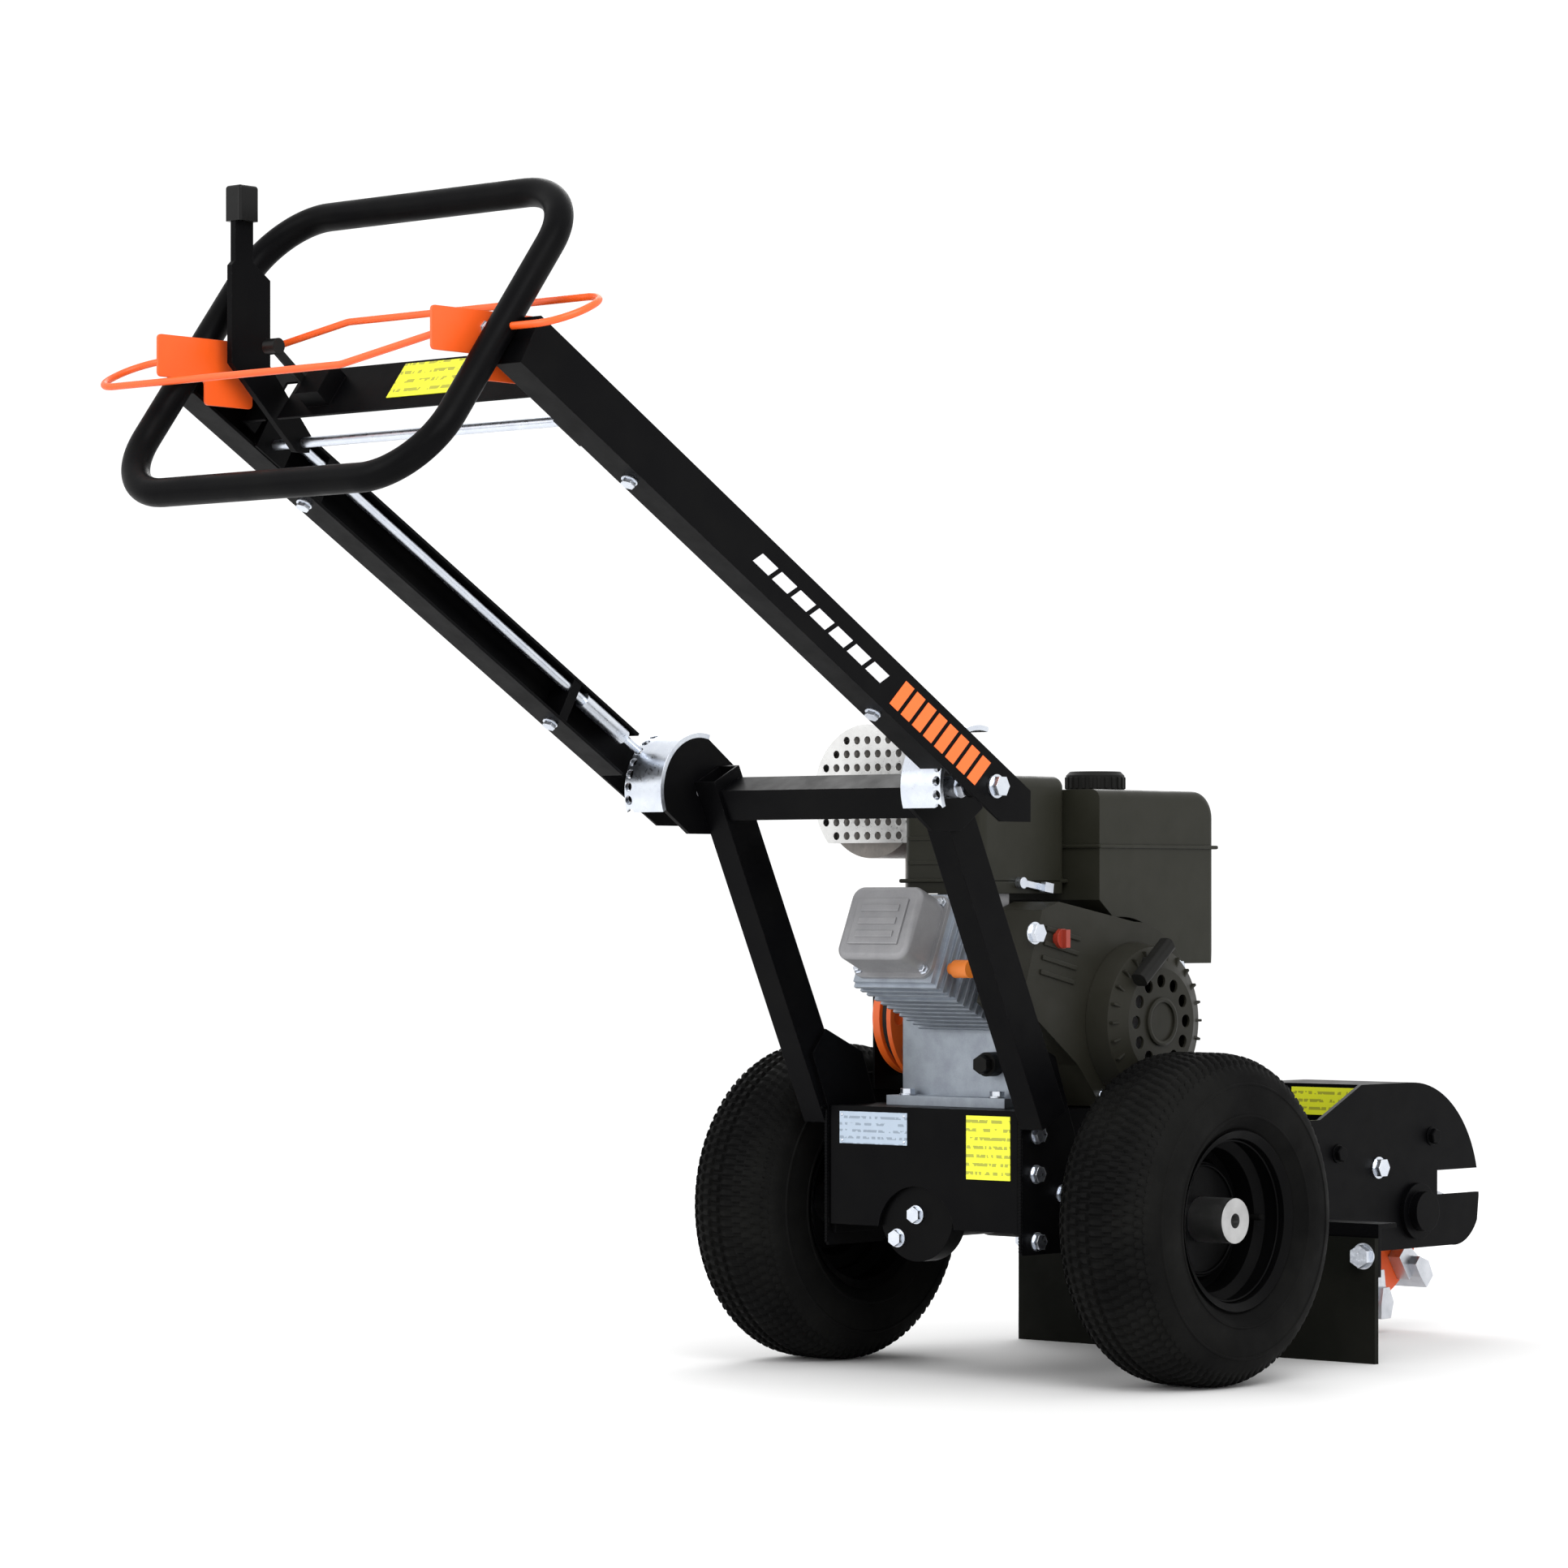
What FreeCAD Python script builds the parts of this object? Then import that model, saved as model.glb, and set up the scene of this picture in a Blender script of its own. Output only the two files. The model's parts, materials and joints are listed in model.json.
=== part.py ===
"""Walk-behind stump grinder, as a parametric assembly of separate pieces.

Frame: X forwards, towards the cutter; Y to the left; Z up; millimetres. The origin is on the
ground under the middle of the machine's bounding box. Pieces are drawn about the point on the
ground under the wheel axle, and their Placements shift them forwards by axle_x.
"""
import FreeCAD, Part
import math
import os
import re
import Sketcher

DIMS = {
    # wheels and axle
    "axle_x": 180, "axle_z": 203, "track_half": 296,
    "tyre_r": 203, "tyre_half": 77, "bead_r": 103, "bead_half": 60, "crown_half": 46,
    "shoulder_r": 184, "shoulder_half": 68, "wall_r": 146, "tyre_skin": 9,
    "rim_r": 102.7, "rim_half": 59, "rim_skin": 3, "rim_lip": 7, "dish_r": 74,
    "dish_y": -8, "well_r": 88,
    "hub_r": 27.5, "hub_end": 355, "hub_start": 268, "hub_bore": 9, "hub_bore_depth": 26,
    "half_shaft_r": 12.5, "shaft_gap": 2,
    # deck: a box of plate, open underneath
    "deck_back": -165, "deck_front": 385, "deck_half": 153, "deck_low": 175, "deck_top": 335,
    "foot_low": 160, "rear_low": 187,
    "deck_wall": 6, "arch_y": 11, "arch_r": 62, "arch_z": 176, "axle_hole_r": 27,
    "diff_r": 34, "diff_half": 42, "diff_nose_r": 24, "diff_nose_y": 138, "diff_wall": 5,
    "bearing_r": 40, "bearing_plate": 8, "bearing_tube_r": 26.5, "run_gap": 0.05,
    # uprights that carry the handle, leaning back
    "pivot_x": -361, "pivot_z": 724, "upright_x": -340, "lean": 26,
    "upright_in": 157, "upright_out": 191, "upright_deep": 50, "tube_wall": 3,
    "upright_foot": -445, "upright_top": 24,
    "bar_side": 40, "bar_z": -10, "pivot_plate": 6,
    "pivot_bolt_r": 7,
    # height-lock quadrants round the handle pivot
    "quad_r": 72, "quad_wall": 6, "quad_band_out": 251, "quad_low": -21, "quad_sweep": 125,
    "quad_pitch": 13, "quad_hole_r": 5.6,
    # arms: inward-open channels from the pivot to the loop handle
    "arm_slope": 30.7, "arm_in": 237, "arm_out": 275, "arm_half": 30, "arm_wall": 3.5,
    "arm_back": -901.5, "arm_cap": 3, "quad_room": 88, "boss_r": 13, "arm_nose": 66, "arm_chin": 41,
    # loop handle
    "loop_x": -1145, "loop_z": 1198.5, "loop_slope": 52.4, "loop_long": 205, "loop_half": 240,
    "loop_bend": 85, "loop_r": 16, "loop_wall": 2.2,
    # bail: the operator's wire hoop
    "bail_tilt": 24, "bail_wire_r": 4, "bail_reach": 85, "bail_side": 330, "bail_jog": 75,
    "bail_end_reach": 72, "bail_end_drop": 20, "bail_bend": 40,
    "rocker_in": 213.2, "rocker_plate": 3,
    # lock lever, cross shaft and rods
    "shaft_back": -771.3, "shaft_drop": -11.3, "cross_r": 6, "rod_rise": 15.5, "rod_r": 6,
    "rod_y": 245, "plunger_r": 10, "tip_r": 5,
    "lever_in": 186, "lever_out": 194, "crank_in": 250, "crank_out": 254,
    # control panel between the arms
    "panel_x": -1054, "panel_z": 1158, "panel_half": 35, "panel_plate": 3,
    # cutter, its guard and the boom plates
    "cut_x": 766, "cut_z": 170, "disc_r": 128, "disc_half": 9, "cut_r": 149, "tooth_out": 40,
    "guard_half": 90, "guard_plate": 6, "guard_r": 160, "guard_x": 757, "guard_z": 184, "guard_wrap": 4,
    "guard_wall_x": 640, "boom_top": 300, "boom_knee": 545, "boom_low": 178, "guard_low": 120,
    "cut_shaft_r": 15, "cut_bearing_r": 38,
    # chip flap across the machine in front of the wheels
    "flap_x": 383, "flap_thick": 8, "flap_half": 291, "flap_top": 160, "flap_bar_low": 110,
    "flap_bar_plate": 6, "flap_bar_deep": 40, "flap_bolt_y": 274, "flap_bolt_z": 137,
    # belt drive on the left
    "belt_y": 172, "belt_half": 8.5, "belt_thick": 11, "clutch_r": 88, "clutch_half": 21,
    "crank_groove_r": 60, "cut_groove_r": 84, "cut_pulley_half": 15,
    "belt_guard_in": 203, "belt_guard_plate": 3, "belt_guard_rim": 150,
    # engine on the deck: crank across the machine, cylinder laid back
    "crank_x": 40, "crank_z": 441, "crank_r": 12.5, "cyl_tilt": 23.2,
    "case_right": -85, "case_left": 105, "block_foot": 12,
    "barrel_half": 46, "fin_half": 62, "fin_side": 66, "fin_pitch": 13, "fin_thick": 5,
    "head_start": -212, "head_end": -262, "cover_end": -314, "cover_half": 54, "cover_side": 62,
    "cover_round": 16,
    "blower_in": -100, "blower_out": -170, "blower_r": 123, "blower_wall": 3,
    "recoil_r": 98, "recoil_out": -212, "recoil_face_r": 66,
    "flywheel_r": 96, "flywheel_in": -108, "flywheel_out": -150,
    "tank_back": -4, "tank_front": 234, "tank_right": -150, "tank_left": 110, "tank_top": 728,
    "tank_round": 34, "cap_x": 115, "cap_y": -50, "cap_r": 37, "cap_top": 753,
    "cleaner_back": -178, "cleaner_front": -8, "cleaner_right": -102, "cleaner_left": 22,
    "cleaner_low": 599, "cleaner_top": 744, "cleaner_round": 14,
    "muffler_back": -140, "muffler_front": -28, "muffler_y": 104, "muffler_z": 722,
    "muffler_r": 79, "muffler_wall": 2, "shield_back": -148, "shield_r": 88, "shield_plate": 1.5,
}

doc = FreeCAD.newDocument("stump_grinder")
sheet = doc.addObject("Spreadsheet::Sheet", "Dims")
for row, (word, size) in enumerate(DIMS.items(), start=1):
    sheet.set(f"A{row}", word)
    sheet.set(f"B{row}", str(size))
    sheet.setAlias(f"B{row}", word)
doc.recompute()

FUNCTIONS = ("sin", "cos", "tan", "sqrt")
NODES = {}


def in_sheet(formula):
    """A formula in plain words, with each word turned into its cell's reference."""
    def cell(match):
        return match[0] if match[0] in FUNCTIONS else f"Dims.{match[0]}"
    return re.sub(r"[a-z_][a-z0-9_]*", cell, str(formula))


def size_of(formula):
    return float(sheet.evalExpression(in_sheet(formula)))


def bind(thing, **settings):
    """Ties properties of an object to formulas; two underscores stand for a dot."""
    for setting, formula in settings.items():
        thing.setExpression(setting.replace("__", "."), in_sheet(formula))


def place(thing, x, z, turn="0", y="0"):
    """Puts a piece's own frame at (x, y, z), turned about Y."""
    thing.Placement = FreeCAD.Placement(
        FreeCAD.Vector(size_of(x), size_of(y), size_of(z)),
        FreeCAD.Rotation(FreeCAD.Vector(0, 1, 0), size_of(turn)))
    bind(thing, Placement__Base__x=x, Placement__Base__y=y, Placement__Base__z=z)
    return thing


def keep(node, thing, x="axle_x", z="0", turn="0", y="0"):
    """Names a finished piece, and places its own frame in the machine."""
    NODES[node] = thing
    thing.Label = node
    return place(thing, x, z, turn, y)


def keep_on_arm(node, thing):
    return keep(node, thing, "axle_x + pivot_x", "pivot_z", "arm_slope")


def keep_on_loop(node, thing):
    return keep(node, thing, "axle_x + loop_x", "loop_z", "-loop_slope")


def keep_on_upright(node, thing):
    return keep(node, thing, "axle_x + upright_x", "pivot_z", "-lean")


# ---- PartDesign helpers: sketches bound to the sheet -------------------------------------

def new_body(name):
    return doc.addObject("PartDesign::Body", name)


def origin_of(body, role):
    return next(f for f in body.Origin.OriginFeatures if f.Role == role)


def new_sketch(body, plane, offset, loops):
    """A sketch on one of the body's own planes. A loop is a list of corners (x, y), where a
    third item (x, y) is a point that the arc to the next corner passes through, or it is one
    circle ("circle", x, y, radius)."""
    sketch = body.newObject("Sketcher::SketchObject", "sketch")
    sketch.AttachmentSupport = [(origin_of(body, plane + "_Plane"), "")]
    sketch.MapMode = "FlatFace"
    bind(sketch, AttachmentOffset__Base__z=offset)
    for loop in loops:
        if loop[0] == "circle":
            add_circle(sketch, *loop[1:])
        else:
            add_outline(sketch, loop)
    return sketch


def pin_point(sketch, item, end, x, y):
    for kind, formula in (("DistanceX", x), ("DistanceY", y)):
        rule = sketch.addConstraint(Sketcher.Constraint(kind, -1, 1, item, end, size_of(formula)))
        sketch.setExpression(f"Constraints[{rule}]", in_sheet(formula))


def add_circle(sketch, x, y, radius):
    centre = FreeCAD.Vector(size_of(x), size_of(y), 0)
    item = sketch.addGeometry(Part.Circle(centre, FreeCAD.Vector(0, 0, 1), size_of(radius)))
    rule = sketch.addConstraint(Sketcher.Constraint("Radius", item, size_of(radius)))
    sketch.setExpression(f"Constraints[{rule}]", in_sheet(radius))
    pin_point(sketch, item, 3, x, y)


def add_arc(sketch, start, middle, stop):
    """An arc through three points, always anticlockwise; tells whether it runs from the start."""
    curve = Part.Arc(start, middle, stop).toShape().Curve
    turn = (middle - start).cross(stop - middle).z
    first, last = (start, stop) if turn > 0 else (stop, start)
    angles = []
    for point in (first, last):
        spoke = point - curve.Center
        angles.append(math.atan2(spoke.y, spoke.x))
    circle = Part.Circle(curve.Center, FreeCAD.Vector(0, 0, 1), curve.Radius)
    return sketch.addGeometry(Part.ArcOfCircle(circle, *angles)), turn > 0


def add_outline(sketch, corners):
    points = [FreeCAD.Vector(size_of(c[0]), size_of(c[1]), 0) for c in corners]
    ends = []
    for i, corner in enumerate(corners):
        start, stop = points[i], points[(i + 1) % len(points)]
        if len(corner) == 3:
            middle = FreeCAD.Vector(size_of(corner[2][0]), size_of(corner[2][1]), 0)
            item, forward = add_arc(sketch, start, middle, stop)
        else:
            item, forward = sketch.addGeometry(Part.LineSegment(start, stop)), True
        ends.append((item, 1 if forward else 2, 2 if forward else 1))
    for i, (item, _, stop) in enumerate(ends):
        following, start, _ = ends[(i + 1) % len(ends)]
        sketch.addConstraint(Sketcher.Constraint("Coincident", item, stop, following, start))
    for (item, start, _), corner in zip(ends, corners):
        pin_point(sketch, item, start, corner[0], corner[1])


def pad(body, plane, low, high, *loops):
    """Adds a slab between two distances along the plane's machine axis."""
    sketch = new_sketch(body, plane, f"-({high})" if plane == "XZ" else low, loops)
    feature = body.newObject("PartDesign::Pad", "pad")
    feature.Profile = sketch
    bind(feature, Length=f"({high}) - ({low})")
    doc.recompute()
    return feature


def pocket(body, plane, low, high, *loops):
    """Cuts a slab away, and makes sure that it did cut."""
    before = body.Shape.Volume
    sketch = new_sketch(body, plane, f"-({low})" if plane == "XZ" else high, loops)
    feature = body.newObject("PartDesign::Pocket", "pocket")
    feature.Profile = sketch
    bind(feature, Length=f"({high}) - ({low})")
    doc.recompute()
    if body.Shape.Volume > before - 1e-3:
        raise ValueError(f"{body.Label}: a pocket cuts nothing")
    return feature


def spin(body, axis, *loops, plane="XY", cut=False):
    """Turns an outline once round one of the body's axes."""
    kind = "PartDesign::Groove" if cut else "PartDesign::Revolution"
    before = body.Shape.Volume if cut else 0
    sketch = new_sketch(body, plane, "0", loops)
    feature = body.newObject(kind, "turning")
    feature.Profile = sketch
    feature.ReferenceAxis = (origin_of(body, axis + "_Axis"), [""])
    feature.Angle = 360
    doc.recompute()
    if cut and body.Shape.Volume > before - 1e-3:
        raise ValueError(f"{body.Label}: a groove cuts nothing")
    return feature


def soften(body, radius, wanted):
    """Rounds the edges of the body's last feature that wanted(edge) picks."""
    tip = body.Tip
    names = [f"Edge{i}" for i, edge in enumerate(tip.Shape.Edges, start=1) if wanted(edge)]
    feature = body.newObject("PartDesign::Fillet", "rounding")
    feature.Base = (tip, names)
    bind(feature, Radius=radius)
    doc.recompute()
    return feature


def box_loop(x, y):
    return [(x[0], y[0]), (x[1], y[0]), (x[1], y[1]), (x[0], y[1])]


def lies_along(edge, direction):
    if not isinstance(edge.Curve, Part.Line):
        return False
    return abs(edge.Curve.Direction.dot(FreeCAD.Vector(*direction))) > 0.999


# ---- Part helpers: primitives and booleans bound to the sheet ----------------------------

TURNS = {
    "X": FreeCAD.Rotation(FreeCAD.Vector(0, 1, 0), 90),
    "Y": FreeCAD.Rotation(FreeCAD.Vector(1, 0, 0), -90),
    "Z": FreeCAD.Rotation(),
}
OTHERS = {"X": "yz", "Y": "xz", "Z": "xy"}


def block(x, y, z):
    thing = doc.addObject("Part::Box", "block")
    bind(thing, Length=f"({x[1]}) - ({x[0]})", Width=f"({y[1]}) - ({y[0]})",
         Height=f"({z[1]}) - ({z[0]})")
    bind(thing, Placement__Base__x=x[0], Placement__Base__y=y[0], Placement__Base__z=z[0])
    return thing


def stand(thing, axis, low, at):
    """Stands a primitive on its axis: at is its place along the two other axes."""
    thing.Placement = FreeCAD.Placement(FreeCAD.Vector(), TURNS[axis])
    places = {axis.lower(): low, OTHERS[axis][0]: at[0], OTHERS[axis][1]: at[1]}
    bind(thing, **{f"Placement__Base__{letter}": formula for letter, formula in places.items()})
    return thing


def rod(axis, radius, low, high, at=("0", "0")):
    thing = doc.addObject("Part::Cylinder", "rod")
    bind(thing, Radius=radius, Height=f"({high}) - ({low})")
    return stand(thing, axis, low, at)


def hexagon(axis, radius, low, high, at):
    thing = doc.addObject("Part::Prism", "hexagon")
    thing.Polygon = 6
    bind(thing, Circumradius=radius, Height=f"({high}) - ({low})")
    return stand(thing, axis, low, at)


def fuse(*things):
    thing = doc.addObject("Part::MultiFuse", "union")
    thing.Shapes = list(things)
    return thing


def cut(base, *tools):
    for tool in tools:
        result = doc.addObject("Part::Cut", "cut")
        result.Base = base
        result.Tool = tool
        base = result
    return base


def group(*things):
    """Separate solids that share one node."""
    thing = doc.addObject("Part::Compound", "group")
    thing.Links = list(things)
    return thing


def bolt(axis, at, face, out, radius=6):
    """A hex bolt's head and washer, standing on face and pointing along out, +1 or -1."""
    head = 1.24 * radius
    flange = f"({face}) + {out * 2}"
    ends = [(face, flange), (flange, f"({face}) + {out * (2 + head)}")]
    if out < 0:
        ends = [(high, low) for low, high in ends]
    washer = rod(axis, radius * 2.1, *ends[0], at)
    return fuse(washer, hexagon(axis, radius * 1.85, *ends[1], at))


SIDES = {"left": 1, "right": -1}


def across(side, near, far):
    """Low and high Y of something between two distances from the middle, on one side."""
    if side > 0:
        return near, far
    return f"-({far})", f"-({near})"


# ---- Wheels ------------------------------------------------------------------------------

def build_wheel(name, side):
    """Tyre, rim, and hub with its half shaft, turned about the axle line."""
    middle = f"{side} * track_half"

    def at(radius, width):
        return radius, f"{middle} + ({width})"

    tyre = new_body(name + "_tyre")
    spin(tyre, "Y", [
        at("bead_r", "1.5 - bead_half"), at("bead_r + 8", "-bead_half - 0.5"),
        at("bead_r + 20", "4 - tyre_half"), at("wall_r", "-tyre_half"),
        at("shoulder_r", "-shoulder_half"), at("tyre_r", "-crown_half"), at("tyre_r", "crown_half"),
        at("shoulder_r", "shoulder_half"), at("wall_r", "tyre_half"),
        at("bead_r + 20", "tyre_half - 4"), at("bead_r + 8", "bead_half + 0.5"),
        at("bead_r", "bead_half - 1.5"),
        at("bead_r", "bead_half - tyre_skin"), at("wall_r", "tyre_half - tyre_skin"),
        at("tyre_r - 1.6 * tyre_skin", "crown_half - tyre_skin"),
        at("tyre_r - 1.6 * tyre_skin", "tyre_skin - crown_half"),
        at("wall_r", "tyre_skin - tyre_half"), at("bead_r", "tyre_skin - bead_half")])
    soften(tyre, "14", lambda edge: is_ring(edge, size_of("shoulder_r")))
    soften(tyre, "16", lambda edge: is_ring(edge, size_of("tyre_r")))
    keep(name + "_tyre", tyre, z="axle_z")

    rim = new_body(name + "_rim")
    face = f"{side} * dish_y"
    spin(rim, "Y", [
        at("rim_r + rim_lip", "-rim_half - 6"), at("rim_r + rim_lip", "-rim_half - 3"),
        at("rim_r", "-rim_half"), at("rim_r", "-28"), at("well_r + rim_skin", "-20"),
        at("well_r + rim_skin", "20"), at("rim_r", "28"), at("rim_r", "rim_half"),
        at("rim_r + rim_lip", "rim_half + 3"), at("rim_r + rim_lip", "rim_half + 6"),
        at("rim_r - rim_skin", "rim_half"), at("rim_r - rim_skin", "30"),
        at("well_r", "22"), at("well_r", f"{face} + rim_skin"),
        at("dish_r", f"{face} + rim_skin"), at("dish_r - 8", f"{face} + {side} * 12 + rim_skin"),
        at("hub_r + 0.2", f"{face} + {side} * 12 + rim_skin"),
        at("hub_r + 0.2", f"{face} + {side} * 12 - rim_skin"),
        at(f"dish_r - 8 - {4 * side}", f"{face} + {side} * 12 - rim_skin"),
        at(f"dish_r - {4 * side}", f"{face} - rim_skin"),
        at("well_r", f"{face} - rim_skin"), at("well_r", "-22"), at("rim_r - rim_skin", "-30"),
        at("rim_r - rim_skin", "-rim_half")])
    keep(name + "_rim", rim, z="axle_z")

    def along(distance):
        return f"{side} * ({distance})"

    shaft = new_body(name + "_half_shaft")
    spin(shaft, "Y", [
        ("0", along("shaft_gap / 2")), ("half_shaft_r", along("shaft_gap / 2")),
        ("half_shaft_r", along("hub_start - 30")), ("hub_r", along("hub_start - 20")),
        ("hub_r", along("hub_end")), ("hub_bore", along("hub_end")),
        ("hub_bore", along("hub_end - hub_bore_depth")), ("0", along("hub_end - hub_bore_depth"))])
    keep(name + "_half_shaft", shaft, z="axle_z")


def is_ring(edge, radius):
    return isinstance(edge.Curve, Part.Circle) and abs(edge.Curve.Radius - radius) < 1e-3


def build_axle_housing():
    """A round differential case with a tube to each side, hollow, and two bearings."""
    case = new_body("differential_housing")
    bore, hollow = "half_shaft_r + run_gap", "diff_r - diff_wall"
    spin(case, "Y", [
        (bore, "diff_nose_y"), ("diff_nose_r", "diff_nose_y"), ("diff_nose_r", "diff_half + 26"),
        ("diff_r", "0.6 * diff_half"), ("diff_r", "-0.6 * diff_half"),
        ("diff_nose_r", "-diff_half - 26"), ("diff_nose_r", "-diff_nose_y"), (bore, "-diff_nose_y"),
        (bore, "-diff_half - 20"), (hollow, "-0.5 * diff_half"), (hollow, "0.5 * diff_half"),
        (bore, "diff_half + 20")])
    cover = fuse(rod("X", "58", "deck_back + 7", "deck_back + 33", ("15", "0")),
                 rod("X", "30", "deck_back + 32", "-20", ("15", "0")))
    cover = cut(cover, rod("Y", "diff_r - 1", "-60", "100"))
    keep("differential_housing", fuse(case, cover), z="axle_z")

    bearings = []
    for side in SIDES.values():
        plate_low, plate_high = across(side, "deck_half", "deck_half + bearing_plate")
        tube_low, tube_high = across(side, "deck_half - 12", "deck_half + 24")
        body = fuse(rod("Y", "bearing_r", plate_low, plate_high),
                    rod("Y", "bearing_tube_r", tube_low, tube_high))
        bearings.append(cut(body, rod("Y", "half_shaft_r + run_gap", tube_low, tube_high)))
    keep("axle_bearings", group(*bearings), z="axle_z")


# ---- Deck, uprights, boom ----------------------------------------------------------------

def build_deck():
    deck = new_body("deck_frame")
    wall = "deck_wall"
    outer_x, outer_y = ("deck_back", "deck_front"), ("-deck_half", "deck_half")
    pad(deck, "XY", "deck_low", "deck_top", box_loop(outer_x, outer_y))
    soften(deck, "5", lambda edge: lies_along(edge, (0, 0, 1)))
    pocket(deck, "XY", "deck_low", f"deck_top - {wall}",
           box_loop((f"deck_back + {wall}", f"deck_front - {wall}"),
                    (f"-deck_half + {wall}", f"deck_half - {wall}")))
    pocket(deck, "YZ", "deck_back - 1", f"deck_back + {wall} + 1", [
        ("arch_y - arch_r", "deck_low - 1"), ("arch_y - arch_r", "arch_z", ("arch_y", "arch_z + arch_r")),
        ("arch_y + arch_r", "arch_z"), ("arch_y + arch_r", "deck_low - 1")])
    pocket(deck, "YZ", "deck_back - 1", f"deck_back + {wall} + 1",
           box_loop(("-deck_half - 1", "deck_half + 1"), ("deck_low - 1", "rear_low")))
    pocket(deck, "XZ", "-deck_half - 1", "deck_half + 1",
           ("circle", "0", "axle_z", "axle_hole_r"))
    keep("deck_frame", deck)

    brackets = []
    for name, side in SIDES.items():
        web = new_body(name + "_foot")
        pad(web, "XZ", *across(side, "deck_half", "upright_in"), [
            ("deck_back", "foot_low"), ("-60", "foot_low"), ("-60", "300"), ("-100", "400"),
            ("-170", "430"), ("-195", "400"), ("deck_back", "330")])
        brackets.append(web)
    keep("foot_brackets", group(*brackets))


def build_uprights():
    for name, side in SIDES.items():
        inner, outer = across(side, "upright_in", "upright_out")
        half = "upright_deep / 2"
        tube = new_body(name + "_upright")
        pad(tube, "XY", "upright_foot", "upright_top",
            box_loop((f"-{half}", half), (inner, outer)),
            box_loop((f"-{half} + tube_wall", f"{half} - tube_wall"),
                     (f"{inner} + tube_wall", f"{outer} - tube_wall")))
        keep_on_upright(name + "_upright", tube)

    bar = new_body("crossbar")
    side_half, inside = "bar_side / 2", "bar_side / 2 - tube_wall"
    pad(bar, "XZ", "-upright_in", "upright_in",
        box_loop((f"-{side_half}", side_half), (f"bar_z - {side_half}", f"bar_z + {side_half}")),
        box_loop((f"-({inside})", inside), (f"bar_z - ({inside})", f"bar_z + {inside}")))
    keep_on_upright("crossbar", bar)

    plates = []
    for side in SIDES.values():
        plate = new_body("pivot_plate")
        reach, end = "(quad_r - quad_wall - 0.05)", "(quad_low + quad_sweep)"
        rim = [(f"pivot_x - {reach} * cos({angle})", f"pivot_z + {reach} * sin({angle})")
               for angle in ("quad_low", f"(quad_low + {end}) / 2", end)]
        pad(plate, "XZ", *across(side, "upright_out", "upright_out + pivot_plate"), [
            (*rim[0], rim[1]), rim[2], ("-289", "750"), ("-289", "700"), ("-330", "672"),
            ("-380", "672")], ("circle", "pivot_x", "pivot_z", "pivot_bolt_r"))
        plates.append(plate)
    keep("pivot_plates", group(*plates))


def build_quadrants():
    """A curved band round each handle pivot, with a row of lock holes."""
    quadrants = []
    for side in SIDES.values():
        low, high = across(side, "upright_out", "quad_band_out")
        sector = rod("Y", "quad_r", low, high)
        bind(sector, Angle="quad_sweep")
        turn = FreeCAD.Rotation(FreeCAD.Vector(0, 1, 0), size_of("180 + quad_low"))
        sector.Placement = FreeCAD.Placement(sector.Placement.Base, turn.multiply(TURNS["Y"]))
        holes = []
        for step in range(-2, 7):
            hole = rod("X", "quad_hole_r", "-quad_r - 10", "-30", (f"{side} * rod_y", "rod_rise"))
            angle = size_of(f"arm_slope - {step} * quad_pitch")
            swing = FreeCAD.Rotation(FreeCAD.Vector(0, 1, 0), angle)
            start = FreeCAD.Vector(*map(size_of, ("-quad_r - 10", f"{side} * rod_y", "rod_rise")))
            hole.Placement = FreeCAD.Placement(swing.multVec(start), swing.multiply(TURNS["X"]))
            for letter in "xyz":
                hole.setExpression(f"Placement.Base.{letter}", None)
            holes.append(hole)
        quadrants.append(cut(sector, rod("Y", "quad_r - quad_wall", low, high), *holes))
    keep("lock_quadrants", group(*quadrants), "axle_x + pivot_x", "pivot_z")

    bolts = []
    for side in SIDES.values():
        head_low, head_high = across(side, "arm_out + 3", "arm_out + 12")
        washer_low, washer_high = across(side, "arm_out + 0.3", "arm_out + 3")
        shank_low, shank_high = across(side, "upright_out", "arm_out + 0.3")
        bush_low, bush_high = across(side, "upright_out + pivot_plate", "arm_in - 14")
        nut_low, nut_high = across(side, "arm_in - 14", "arm_in - 4")
        bolts.append(fuse(rod("Y", "pivot_bolt_r - run_gap", shank_low, shank_high),
                          rod("Y", "14", washer_low, washer_high),
                          rod("Y", "13", bush_low, bush_high),
                          hexagon("Y", "12.5", head_low, head_high, ("0", "0")),
                          hexagon("Y", "12.5", nut_low, nut_high, ("0", "0"))))
    keep("pivot_bolts", group(*bolts), "axle_x + pivot_x", "pivot_z")


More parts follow.
